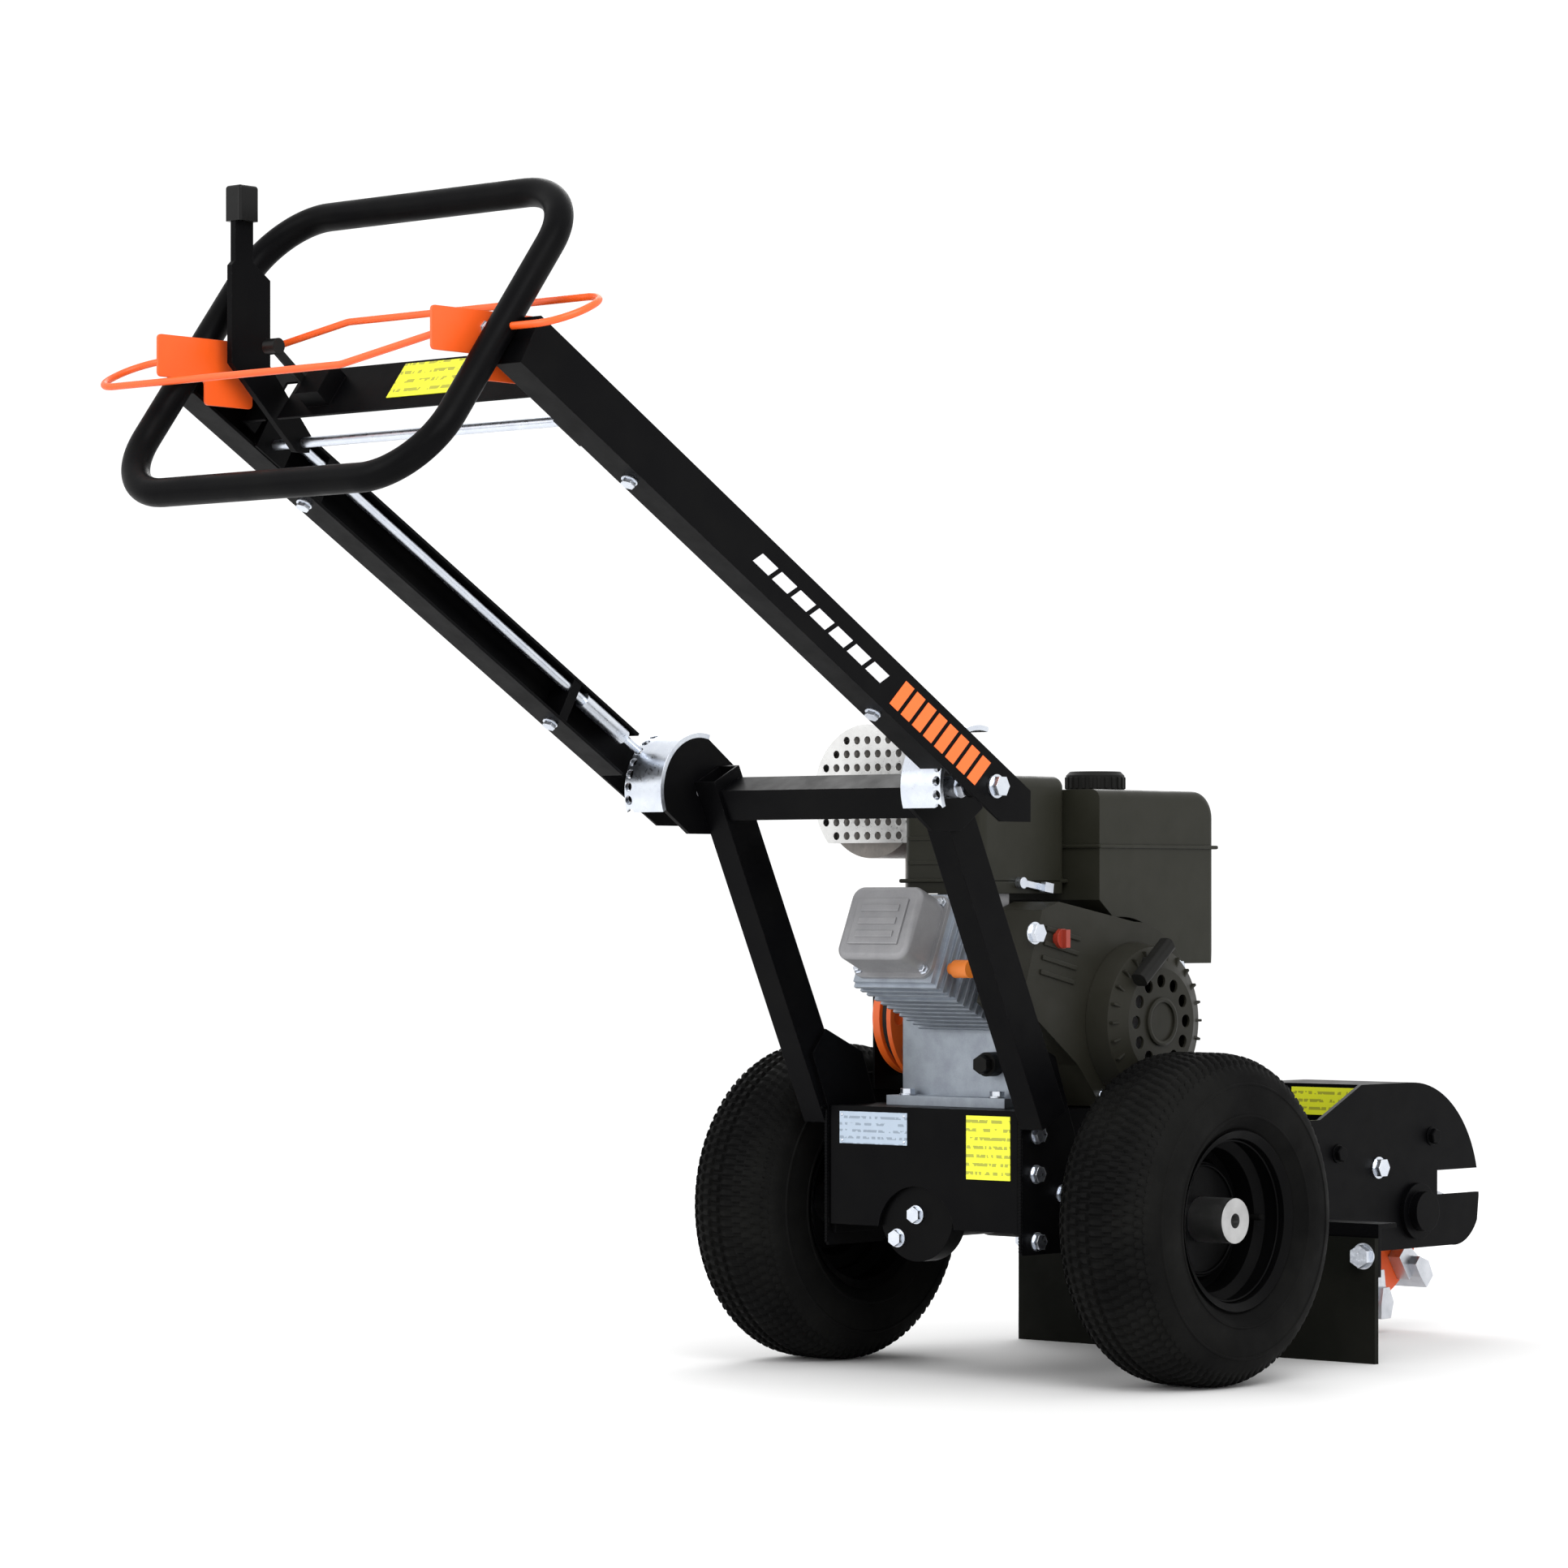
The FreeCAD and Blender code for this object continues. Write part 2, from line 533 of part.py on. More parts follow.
def build_guard():
    """Boom plates that run forwards from the deck and close round the cutter."""
    guard = new_body("cutter_guard")
    half, plate = "guard_half", "guard_plate"
    diagonal = "guard_r * cos(45)"
    start = "deck_front + 0.3"
    pad(guard, "XZ", f"-{half}", half, [
        (start, "boom_low"), (start, "boom_top"), ("boom_knee", "boom_top"),
        ("guard_wall_x", "guard_z + guard_r"),
        ("guard_x", "guard_z + guard_r", (f"guard_x + {diagonal}", f"guard_z + {diagonal}")),
        ("guard_x + guard_r", "guard_z"), ("guard_x + guard_r - 4", "152", ("893", "130")),
        ("851", "guard_low"), ("560", "guard_low"), ("520", "boom_low")])
    inner = f"{half} - {plate}"
    wrap_r = "(guard_r - guard_wrap)"
    pocket(guard, "XZ", f"-({inner})", inner,
           box_loop(("deck_front - 9", "guard_wall_x"), ("guard_low - 9", "guard_z + guard_r + 9")))
    pocket(guard, "XZ", f"-({inner})", inner, [
        ("guard_wall_x + guard_wrap", "guard_low - 9"),
        ("guard_wall_x + guard_wrap", f"guard_z + {wrap_r}"),
        ("guard_x", f"guard_z + {wrap_r}",
         (f"guard_x + {wrap_r} * cos(45)", f"guard_z + {wrap_r} * sin(45)")),
        (f"guard_x + {wrap_r}", "guard_z"), (f"guard_x + {wrap_r}", "guard_low - 9")])
    pocket(guard, "XZ", f"-({inner})", inner,
           box_loop(("guard_wall_x - 1", "guard_wall_x + guard_wrap + 1"), ("guard_low - 9", "268")))
    pocket(guard, "XZ", f"-({inner})", inner,
           box_loop(("817", "guard_x + guard_r + 1"), ("guard_low - 9", "226")))
    pocket(guard, "XZ", f"-{half} - 1", f"{half} + 1",
           box_loop(("817", "guard_x + guard_r + 1"), ("190", "223")))
    pocket(guard, "XZ", f"-{half} - 1", f"{half} + 1", ("circle", "cut_x", "cut_z", "cut_shaft_r + 7"))
    keep("cutter_guard", guard)


def build_flap():
    thick, bar = "flap_thick", "flap_bar_plate"
    back = f"flap_x + {thick}"
    angle = new_body("flap_bar")
    pad(angle, "XZ", "-flap_half", "flap_half", [
        (back, "flap_bar_low"), (f"{back} + {bar}", "flap_bar_low"),
        (f"{back} + {bar}", f"boom_low - {bar}"), (f"{back} + flap_bar_deep", f"boom_low - {bar}"),
        (f"{back} + flap_bar_deep", "boom_low"), (back, "boom_low")])
    keep("flap_bar", angle)
    flap = new_body("chip_flap")
    pad(flap, "YZ", "flap_x", back, [
        ("-flap_half", "0"), ("flap_half", "0"), ("flap_half", "flap_top"), ("-flap_half", "flap_top")])
    keep("chip_flap", flap)


def build_frame_bolts():
    bolts = []
    for y in ("-90", "90"):
        bolts.append(bolt("X", (y, "flap_bolt_z"), "flap_x - 0.1", -1))
    for side in SIDES.values():
        bolts.append(bolt("X", (f"{side} * flap_bolt_y", "flap_bolt_z"), "flap_x - 0.1", -1, 8))
        for x, z in (("-137", "306"), ("-139", "258"), ("-137", "176"), ("-88", "232")):
            bolts.append(bolt("Y", (x, z), f"{side} * (upright_in + 0.1)", side, 5.5))
        bolts.append(bolt("Y", ("-350", "764"), f"{side} * (upright_out + pivot_plate + 0.1)", side))
        bolts.append(bolt("Y", ("677", "232"), f"{side} * (guard_half + 0.1)", side, 7))
    for y, z in (("15", "203"), ("45", "173")):
        bolts.append(bolt("X", (y, z), "deck_back + 6.9", -1, 5.5))
    for x in ("-96", "156"):
        for y in ("-62", "82"):
            bolts.append(bolt("Z", (x, y), "deck_top + block_foot + 0.1", 1, 5))
    for x, z, size in (("-158", "551", 6.5), ("128", "508", 4), ("-24", "350", 4)):
        bolts.append(bolt("Y", (x, z), "blower_out - 0.1", -1, size))
    keep("frame_bolts", group(*bolts))


# ---- Cutter and belt drive ---------------------------------------------------------------

def build_cutter():
    shaft_end = "belt_y + cut_pulley_half + 6"
    shaft = fuse(rod("Y", "cut_shaft_r", "-guard_half - 13", shaft_end),
                 rod("Y", "cut_shaft_r + 9", "-disc_half - 16", "-disc_half"),
                 rod("Y", "cut_shaft_r + 9", "disc_half", "disc_half + 16"))
    keep("cutter_shaft", shaft, "axle_x + cut_x", "cut_z")

    disc = new_body("cutter_disc")
    pad(disc, "XZ", "-disc_half", "disc_half",
        ("circle", "0", "0", "disc_r"), ("circle", "0", "0", "cut_shaft_r + run_gap"))
    count = 8
    for step in range(count):
        middle = step * 360 / count
        pocket(disc, "XZ", "-disc_half - 1", "disc_half + 1", [
            (f"(disc_r + 6) * cos({middle} - 5)", f"(disc_r + 6) * sin({middle} - 5)"),
            (f"(disc_r - 22) * cos({middle} - 3)", f"(disc_r - 22) * sin({middle} - 3)"),
            (f"(disc_r - 22) * cos({middle} + 6)", f"(disc_r - 22) * sin({middle} + 6)"),
            (f"(disc_r + 6) * cos({middle} + 12)", f"(disc_r + 6) * sin({middle} + 12)")])
    keep("cutter_disc", disc, "axle_x + cut_x", "cut_z")

    teeth = []
    for step in range(count):
        middle = step * 360 / count
        tooth = new_body("tooth")
        pad(tooth, "XZ", "-tooth_out", "tooth_out", [
            (f"(disc_r - 21.5) * cos({middle} - 2.4)", f"(disc_r - 21.5) * sin({middle} - 2.4)"),
            (f"(disc_r - 21.5) * cos({middle} + 5.4)", f"(disc_r - 21.5) * sin({middle} + 5.4)"),
            (f"disc_r * cos({middle} + 9)", f"disc_r * sin({middle} + 9)"),
            (f"cut_r * cos({middle} + 5)", f"cut_r * sin({middle} + 5)"),
            (f"cut_r * cos({middle} - 3.5)", f"cut_r * sin({middle} - 3.5)"),
            (f"disc_r * cos({middle} - 3.8)", f"disc_r * sin({middle} - 3.8)")])
        holder = [(f"{radius} * cos({middle} + {turn})", f"{radius} * sin({middle} + {turn})")
                  for radius, turn in (("84", -9), ("124", -9), ("124", 9), ("84", 9))]
        for side in SIDES.values():
            pad(tooth, "XZ", *across(side, "disc_half + 0.4", "disc_half + 20"), holder)
        teeth.append(tooth)
    keep("cutter_teeth", group(*teeth), "axle_x + cut_x", "cut_z")

    keep("cutter_pulley", pulley("belt_y", "cut_groove_r", "cut_pulley_half", "cut_shaft_r + run_gap"),
         "axle_x + cut_x", "cut_z")

    bearings = []
    for side in SIDES.values():
        plate_low, plate_high = across(side, "guard_half", "guard_half + 7")
        boss_low, boss_high = across(side, "guard_half - 5", "guard_half + 20")
        housing = fuse(rod("Y", "cut_bearing_r", plate_low, plate_high),
                       rod("Y", "cut_shaft_r + 6.8", boss_low, boss_high),
                       rod("Y", "cut_shaft_r + 12", *across(side, "guard_half", "guard_half + 20")))
        bore = across(side, "guard_half - 5", "guard_half + 20" if side > 0 else "guard_half + 14")
        bearings.append(cut(housing, rod("Y", "cut_shaft_r + run_gap", *bore)))
    keep("cutter_bearings", group(*bearings), "axle_x + cut_x", "cut_z")


def pulley(middle, groove_r, half, bore):
    """A V-belt pulley turned about Y, with its groove open outwards."""
    body = new_body("pulley")
    lip = f"{groove_r} + belt_thick + 2"
    spin(body, "Y", [
        (bore, f"{middle} - {half}"), (lip, f"{middle} - {half}"),
        (lip, f"{middle} - belt_half - 1.2"), (f"{groove_r} - 1", f"{middle} - belt_half + 1.6"),
        (f"{groove_r} - 1", f"{middle} + belt_half - 1.6"),
        (lip, f"{middle} + belt_half + 1.2"), (lip, f"{middle} + {half}"), (bore, f"{middle} + {half}")])
    return body


def tangent_points(grow):
    """Where a belt line that clears both pulleys by grow touches their circles."""
    low = FreeCAD.Vector(size_of("cut_x"), 0, size_of("cut_z"))
    high = FreeCAD.Vector(size_of("crank_x"), 0, size_of("crank_z"))
    big, small = size_of("cut_groove_r") + grow, size_of("crank_groove_r") + grow
    run = high - low
    slope = math.atan2(run.z, run.x)
    lean = math.acos((big - small) / run.Length)
    points = []
    for sign in (1, -1):
        angle = slope + sign * lean
        way = FreeCAD.Vector(math.cos(angle), 0, math.sin(angle))
        points.append((low + way * big, high + way * small))
    return points, low, high, big, small, slope


def belt_face(grow, y):
    """The flat face inside a loop round both pulleys, grown outwards."""
    points, low, high, big, small, slope = tangent_points(grow)
    way = FreeCAD.Vector(math.cos(slope), 0, math.sin(slope))
    (low_a, high_a), (low_b, high_b) = points
    edges = [
        Part.LineSegment(low_a, high_a).toShape(),
        Part.Arc(high_a, high + way * small, high_b).toShape(),
        Part.LineSegment(high_b, low_b).toShape(),
        Part.Arc(low_b, low - way * big, low_a).toShape()]
    face = Part.Face(Part.Wire(edges))
    face.translate(FreeCAD.Vector(0, y, 0))
    return face


def build_belt():
    """The belt as a plain band that stands just off both groove floors."""
    gap, thick = 0.4, size_of("belt_thick")
    half, middle = size_of("belt_half"), size_of("belt_y")
    width = FreeCAD.Vector(0, 2 * half - 3.8, 0)
    start = middle - half + 1.9
    outer = belt_face(gap + thick, start).extrude(width)
    inner = belt_face(gap, start).extrude(width)
    belt = doc.addObject("Part::Feature", "drive_belt")
    belt.Shape = outer.cut(inner)
    keep("drive_belt", belt)


def build_belt_guard():
    """An outer plate with a rim turned in over the top and the front of the belt."""
    guard = new_body("belt_guard")
    top_r, far_r = "(clutch_r + 14)", "(cut_groove_r + 28)"
    outline = [
        ("crank_x - 58", "350"), ("crank_x - 58", f"crank_z + {top_r} - 22"),
        ("crank_x - 36", f"crank_z + {top_r}"), ("crank_x + 46", f"crank_z + {top_r} - 6"),
        ("cut_x + 40", f"cut_z + {far_r} - 8", (f"cut_x + {far_r} * cos(18)", f"cut_z + {far_r} * sin(18)")),
        (f"cut_x + {far_r} * cos(40)", f"cut_z - {far_r} * sin(40)"),
        ("cut_x - 20", "cut_z - 96"), ("300", "248"), ("210", "336")]
    pad(guard, "XZ", "belt_guard_rim", "belt_guard_in + belt_guard_plate", outline)
    inside = [
        ("crank_x - 61", "330"), ("crank_x - 61", f"crank_z + {top_r} - 22"),
        ("crank_x - 35", f"crank_z + {top_r} - 3"), ("crank_x + 45", f"crank_z + {top_r} - 9"),
        ("cut_x + 38", f"cut_z + {far_r} - 11",
         (f"cut_x + ({far_r} - 3) * cos(18)", f"cut_z + ({far_r} - 3) * sin(18)")),
        (f"cut_x + ({far_r} - 3) * cos(40)", f"cut_z - ({far_r} - 3) * sin(40)"),
        ("cut_x - 18", "cut_z - 130"), ("290", "230"), ("200", "320")]
    pocket(guard, "XZ", "belt_guard_rim - 1", "belt_guard_in", inside)
    keep("belt_guard", guard)


def build_crank():
    shaft_end = "belt_y + clutch_half + 3"
    shaft = fuse(rod("Y", "crank_r", "flywheel_out - 8", shaft_end),
                 rod("Y", "crank_r + 8", "case_left + 14", "belt_y - clutch_half - 1"))
    keep("crankshaft", shaft, "axle_x + crank_x", "crank_z")

    drum = new_body("clutch_drum")
    middle, half, bore = "belt_y", "clutch_half", "crank_r + run_gap"
    lip = "crank_groove_r + belt_thick + 3"
    spin(drum, "Y", [
        (bore, f"{middle} - {half}"), ("clutch_r", f"{middle} - {half}"),
        ("clutch_r", f"{middle} - {half} + 7"), (lip, f"{middle} - belt_half - 1.2"),
        ("crank_groove_r - 1", f"{middle} - belt_half + 1.6"),
        ("crank_groove_r - 1", f"{middle} + belt_half - 1.6"), (lip, f"{middle} + belt_half + 1.2"),
        (lip, f"{middle} + {half}"), (bore, f"{middle} + {half}")])
    for step in range(10):
        angle = f"({step * 36})"
        pocket(drum, "XZ", f"{middle} - {half} - 1", f"{middle} - {half} + 5",
               ("circle", f"(clutch_r - 16) * cos{angle}", f"(clutch_r - 16) * sin{angle}", "9"))
    keep("clutch_drum", drum, "axle_x + crank_x", "crank_z")

    wheel = new_body("flywheel")
    spin(wheel, "Y", [
        (bore, "flywheel_in"), ("flywheel_r", "flywheel_in"), ("flywheel_r", "flywheel_in - 26"),
        ("flywheel_r - 20", "flywheel_in - 26"), ("flywheel_r - 34", "flywheel_out"),
        (bore, "flywheel_out")])
    keep("flywheel", wheel, "axle_x + crank_x", "crank_z")


# ---- Engine ------------------------------------------------------------------------------

def build_engine_block():
    """Crankcase and finned cylinder, one casting, the cylinder laid back."""
    case = new_body("crankcase")
    pad(case, "XZ", "case_right", "case_left", [
        ("-110", "deck_top"), ("-44", "deck_top"), ("-34", "deck_top + 15", ("23", "deck_top + 27")),
        ("84", "deck_top + 15"), ("94", "deck_top"), ("170", "deck_top"),
        ("170", "deck_top + block_foot"), ("134", "deck_top + block_foot"), ("134", "505"),
        ("92", "548"), ("-20", "548"), ("-78", "500"), ("-78", "deck_top + block_foot"),
        ("-110", "deck_top + block_foot")])
    cover = rod("Y", "80", "case_left", "case_left + 8", ("crank_x", "crank_z"))
    boss = rod("Y", "30", "case_left + 8", "case_left + 13", ("crank_x", "crank_z"))

    barrel = new_body("cylinder")
    pad(barrel, "YZ", "head_start", "-60", box_loop(("-barrel_half", "barrel_half"),
                                                   ("-barrel_half", "barrel_half")))
    pad(barrel, "YZ", "head_end", "head_start + 1", box_loop(("-cover_side", "cover_side"),
                                                            ("-cover_half - 4", "cover_half + 4")))
    side, half = ("-fin_side", "fin_side"), ("-fin_half", "fin_half")
    for step in range(8):
        low = f"head_start + {step} * fin_pitch"
        pad(barrel, "YZ", low, f"{low} + fin_thick", box_loop(side, half))
    for step in range(3):
        low = f"head_end + 8 + {step} * fin_pitch"
        pad(barrel, "YZ", low, f"{low} + fin_thick", box_loop(side, half))
    place(barrel, "crank_x", "crank_z", "cyl_tilt")

    bore = rod("Y", "crank_r + run_gap", "case_right - 1", "case_left + 14", ("crank_x", "crank_z"))
    keep("engine_block", cut(fuse(case, cover, boss, barrel), bore))


def build_valve_cover():
    cover = new_body("valve_cover")
    pad(cover, "YZ", "head_end - 6", "head_end", box_loop(("-cover_side", "cover_side"),
                                                         ("-cover_half", "cover_half")))
    pad(cover, "YZ", "cover_end", "head_end - 6",
        box_loop(("6 - cover_side", "cover_side - 6"), ("6 - cover_half", "cover_half - 6")))
    soften(cover, "cover_round", lambda edge: lies_along(edge, (1, 0, 0)))
    end = size_of("cover_end")
    soften(cover, "7", lambda edge: abs(edge.BoundBox.XMin - end) < 0.01 > edge.BoundBox.XLength)
    keep("valve_cover", cover, "axle_x + crank_x", "crank_z", "cyl_tilt")


def build_blower():
    """A thin shell over the flywheel that carries the cooling air back over the cylinder."""
    low = "(crank_z - deck_top - 2)"

    def outline(skin):
        radius, floor = f"(blower_r - {skin})", f"({low} - {skin})"
        foot = f"sqrt({radius} * {radius} - {floor} * {floor})"
        return [
            (f"-{foot}", f"-{floor}"), (foot, f"-{floor}", (radius, "0")), ("0", radius),
            (f"{skin} * 0.4 - 150", f"148 - {skin}"), (f"{skin} * 0.7 - 182", f"138 - {skin} * 0.7"),
            (f"{skin} - 222", f"26 + {skin} * 0.4"), (f"{skin} * 0.6 - 112", f"{skin} - 52")]

    housing = new_body("blower_housing")
    pad(housing, "XZ", "blower_out", "blower_in", outline("0"))
    pocket(housing, "XZ", "blower_out + blower_wall", "blower_in + 1", outline("blower_wall"))
    pocket(housing, "XZ", "blower_out - 1", "blower_out + blower_wall + 1", ("circle", "0", "0", "62"))
    keep("blower_housing", housing, "axle_x + crank_x", "crank_z")

    cover = new_body("recoil_cover")
    spin(cover, "Y", [
        ("0", "recoil_out"), ("recoil_face_r", "recoil_out"), ("recoil_r - 6", "recoil_out + 12"),
        ("recoil_r", "blower_out - 0.2"), ("recoil_r - 4", "blower_out - 0.2"),
        ("recoil_r - 10", "recoil_out + 15"), ("recoil_face_r - 2", "recoil_out + 3.5"),
        ("0", "recoil_out + 3.5")])
    holes = [("circle", f"50 * cos({step * 30})", f"50 * sin({step * 30})", "8") for step in range(12)]
    pocket(cover, "XZ", "recoil_out - 1", "recoil_out + 5", *holes)
    keep("recoil_cover", cover, "axle_x + crank_x", "crank_z")

    grip = new_body("recoil_grip")
    pad(grip, "XY", "-9", "9", box_loop(("-36", "36"), ("recoil_out - 24", "recoil_out - 4")))
    soften(grip, "6", lambda edge: lies_along(edge, (1, 0, 0)))
    stem = rod("Y", "6", "recoil_out - 4", "recoil_out - 0.3")
    keep("recoil_grip", fuse(grip, stem), "axle_x + crank_x - 34", "crank_z + 74", "-38")


def build_tank():
    reach = "(blower_r + 6)"
    tank = new_body("fuel_tank")
    pad(tank, "XZ", "tank_right", "tank_left", [
        ("tank_back", "591"), (f"crank_x + {reach} * cos(97)", f"crank_z + {reach} * sin(97)",
                               (f"crank_x + {reach} * cos(60)", f"crank_z + {reach} * sin(60)")),
        (f"crank_x + {reach} * cos(33)", f"crank_z + {reach} * sin(33)"),
        ("tank_front - 8", "511"), ("tank_front", "560"), ("tank_front", "tank_top"),
        ("tank_back", "tank_top")])
    front, top = size_of("tank_front"), size_of("tank_top")
    soften(tank, "tank_round", lambda edge: lies_along(edge, (0, 1, 0))
           and abs(edge.BoundBox.XMax - front) < 0.01 and abs(edge.BoundBox.ZMax - top) < 0.01)
    soften(tank, "12", lambda edge: edge.BoundBox.YLength < 0.01 and edge.BoundBox.ZMin > 600)
    neck = rod("Z", "cap_r - 9", "tank_top - 1", "tank_top + 15", ("cap_x", "cap_y"))
    fuel = block(("tank_back + 6", "tank_front - 14"), ("tank_right + 5", "tank_left - 5"),
                 ("603", "tank_top - 13"))
    filler = rod("Z", "cap_r - 13", "tank_top - 20", "tank_top + 16", ("cap_x", "cap_y"))
    keep("fuel_tank", cut(fuse(tank, neck), fuel, filler))

    cap = new_body("fuel_cap")
    spin(cap, "Z", [
        ("0", "cap_top"), ("cap_r - 5", "cap_top"), ("cap_r", "cap_top - 5"), ("cap_r", "tank_top + 0.4"),
        ("cap_r - 4", "tank_top + 0.4"), ("cap_r - 4", "tank_top + 17"), ("0", "tank_top + 17")],
        plane="XZ")
    keep("fuel_cap", cap, "axle_x + cap_x", "0", y="cap_y")


def build_intake():
    cleaner = new_body("air_cleaner")
    pad(cleaner, "XY", "cleaner_low", "cleaner_top",
        box_loop(("cleaner_back", "cleaner_front"), ("cleaner_right", "cleaner_left")))
    soften(cleaner, "cleaner_round", lambda edge: edge.BoundBox.ZMax > size_of("cleaner_low") + 1)
    hollow = block(("cleaner_back + 7", "cleaner_front - 7"), ("cleaner_right + 7", "cleaner_left - 7"),
                   ("cleaner_low + 4", "cleaner_top - 7"))
    throat = rod("Z", "11", "cleaner_low - 1", "cleaner_low + 5", ("-136", "-81"))
    keep("air_cleaner", cut(cleaner, hollow, throat))

    body = block(("-160", "-112"), ("-94", "-67"), ("540", "cleaner_low"))
    bowl = rod("Z", "12", "514", "540", ("-136", "-81"))
    flange = block(("-166", "-106"), ("-67", "-66.1"), ("545", "590"))
    keep("carburettor", fuse(body, bowl, flange))

    pivot = rod("Y", "7", "cleaner_right - 9", "cleaner_right - 0.3")
    arm = block(("-4", "46"), ("cleaner_right - 8", "cleaner_right - 4"), ("-4", "4"))
    pad_end = block(("34", "50"), ("cleaner_right - 16", "cleaner_right - 8"), ("-6", "6"))
    keep("choke_lever", fuse(pivot, arm, pad_end), "axle_x - 104", "612", "8")

    knob = rod("Y", "12", "blower_out - 8", "blower_out - 0.3")
    bar = block(("-4", "4"), ("blower_out - 15", "blower_out - 8"), ("-11", "11"))
    keep("engine_switch", fuse(knob, bar), "axle_x - 110", "544")


def build_exhaust():
    """A round muffler across the back of the engine's left side, inside a pierced shield."""
    middle = ("muffler_y", "muffler_z")
    drum = rod("X", "muffler_r", "muffler_back", "muffler_front", middle)
    pipe = rod("Z", "12", "583", "muffler_z - 54", ("-120", "50"))
    hollow = rod("X", "muffler_r - muffler_wall", "muffler_back + muffler_wall",
                 "muffler_front - muffler_wall", middle)
    bore = rod("Z", "9.5", "590", "muffler_z - 50", ("-120", "50"))
    keep("muffler", cut(fuse(drum, pipe), hollow, bore))

    guard = new_body("muffler_guard")
    ring = ("circle", *middle, "shield_r")
    pad(guard, "YZ", "shield_back", "muffler_front", ring)
    pocket(guard, "YZ", "shield_back + shield_plate", "muffler_front + 1",
           ("circle", *middle, "shield_r - shield_plate"))
    holes = []
    for across_y in range(-4, 5):
        for up in range(-4, 5):
            if math.hypot(across_y, up) < 4.6:
                holes.append(("circle", f"muffler_y + {across_y * 17}", f"muffler_z + {up * 17}", "5"))
    pocket(guard, "YZ", "shield_back - 1", "shield_back + shield_plate + 1", *holes)
    room = block(("shield_back - 1", "muffler_front + 1"), ("muffler_y - shield_r - 1", "26"),
                 ("muffler_z - shield_r - 1", "muffler_z + shield_r + 1"))
    foot = block(("shield_back - 1", "muffler_front + 1"), ("20", "muffler_y + shield_r + 1"),
                 ("muffler_z - shield_r - 1", "muffler_z - 60"))
    notch = rod("Z", "14", "600", "muffler_z - 50", ("-120", "50"))
    keep("muffler_guard", cut(guard, room, foot, notch))


def build_engine_small():
    plug = fuse(rod("Y", "11", "-98", "-74", ("-238", "-30")), rod("Y", "7", "-74", "-66.1", ("-238", "-30")))
    keep("spark_plug", plug, "axle_x + crank_x", "crank_z", "cyl_tilt")

    cap = fuse(rod("X", "15", "-96", "-78.1", ("-44", "388")), hexagon("X", "12", "-108", "-96", ("-44", "388")))
    keep("oil_cap", cap)


# ---- Handle ------------------------------------------------------------------------------

def build_arms():
    half, wall = "arm_half", "arm_wall"
    chin_x = "(arm_chin - arm_half * cos(arm_slope)) / sin(arm_slope)"
    nose = ("arm_nose * cos(arm_slope) + arm_chin * sin(arm_slope)",
            "arm_nose * sin(arm_slope) - arm_chin * cos(arm_slope)")
    brow_x = "(arm_nose - arm_half * sin(arm_slope)) / cos(arm_slope)"
    for name, side in SIDES.items():
        arm = new_body(name + "_arm")
        pad(arm, "XZ", *across(side, "arm_in", "arm_out"), [
            ("arm_back", f"-{half}"), (chin_x, f"-{half}"), nose, (brow_x, half), ("arm_back", half)])
        inside = across(side, "arm_in - 1", f"arm_out - {wall}")
        pocket(arm, "XZ", *inside,
               box_loop(("arm_back + arm_cap", "100"), (f"{wall} - {half}", f"{half} - {wall}")))
        pocket(arm, "XZ", *inside, box_loop(("-quad_room", "101"), (f"-{half} - 1", f"{half} + 1")))
        pad(arm, "XZ", *across(side, "arm_in", f"arm_out - {wall}"), ("circle", "0", "0", "boss_r"))
        pocket(arm, "XZ", *across(side, "arm_in - 1", "arm_out + 1"), ("circle", "0", "0", "pivot_bolt_r"))
        keep_on_arm(name + "_arm", arm)

    bearings, guides, bolts = [], [], []
    for side in SIDES.values():
        plate_y = across(side, "arm_in - 4", "arm_in")
        plate = block(("shaft_back - 24", "shaft_back + 24"), plate_y, ("-29", "29"))
        bearings.append(cut(plate, rod("Y", "cross_r + run_gap", *plate_y, ("shaft_back", "shaft_drop"))))
        for back in ("-690", "-218"):
            guide = block((back, f"{back} + 14"), across(side, "arm_in + 0.5", f"arm_out - {wall}"),
                          (f"{wall} - {half}", f"{half} - {wall}"))
            guides.append(cut(guide, rod("X", "rod_r + run_gap", back, f"{back} + 14",
                                         (f"{side} * rod_y", "rod_rise"))))
            bolts.append(bolt("Z", (f"{back} + 7", f"{side} * 256"), f"-{half} - 0.1", -1, 4.5))
    keep_on_arm("shaft_bearings", group(*bearings))
    keep_on_arm("rod_guides", group(*guides))
    keep_on_arm("arm_bolts", group(*bolts))


def rounded_path(points, bend, closed=False):
    """Straight runs through the points, with an arc of radius bend at each turn."""
    points = [FreeCAD.Vector(*point) for point in points]
    count = len(points)
    corners = range(count) if closed else range(1, count - 1)
    starts, stops, arcs = dict(enumerate(points)), dict(enumerate(points)), {}
    for i in corners:
        back = (points[i - 1] - points[i]).normalize()
        ahead = (points[(i + 1) % count] - points[i]).normalize()
        half = back.getAngle(ahead) / 2
        reach = bend / math.tan(half)
        starts[i], stops[i] = points[i] + back * reach, points[i] + ahead * reach
        middle = (back + ahead).normalize()
        arcs[i] = points[i] + middle * (bend / math.sin(half) - bend)
    edges = []
    for i in range(count):
        if i in arcs:
            edges.append(Part.Arc(starts[i], arcs[i], stops[i]).toShape())
        if i + 1 < count or closed:
            edges.append(Part.LineSegment(stops[i], starts[(i + 1) % count]).toShape())
    return Part.Wire(edges)


def tube_along(path, radius):
    first = path.OrderedEdges[0]
    start, way = first.valueAt(first.FirstParameter), first.tangentAt(first.FirstParameter)
    profile = Part.Wire([Part.Circle(start, way, radius).toShape()])
    return path.makePipeShell([profile], True, False)


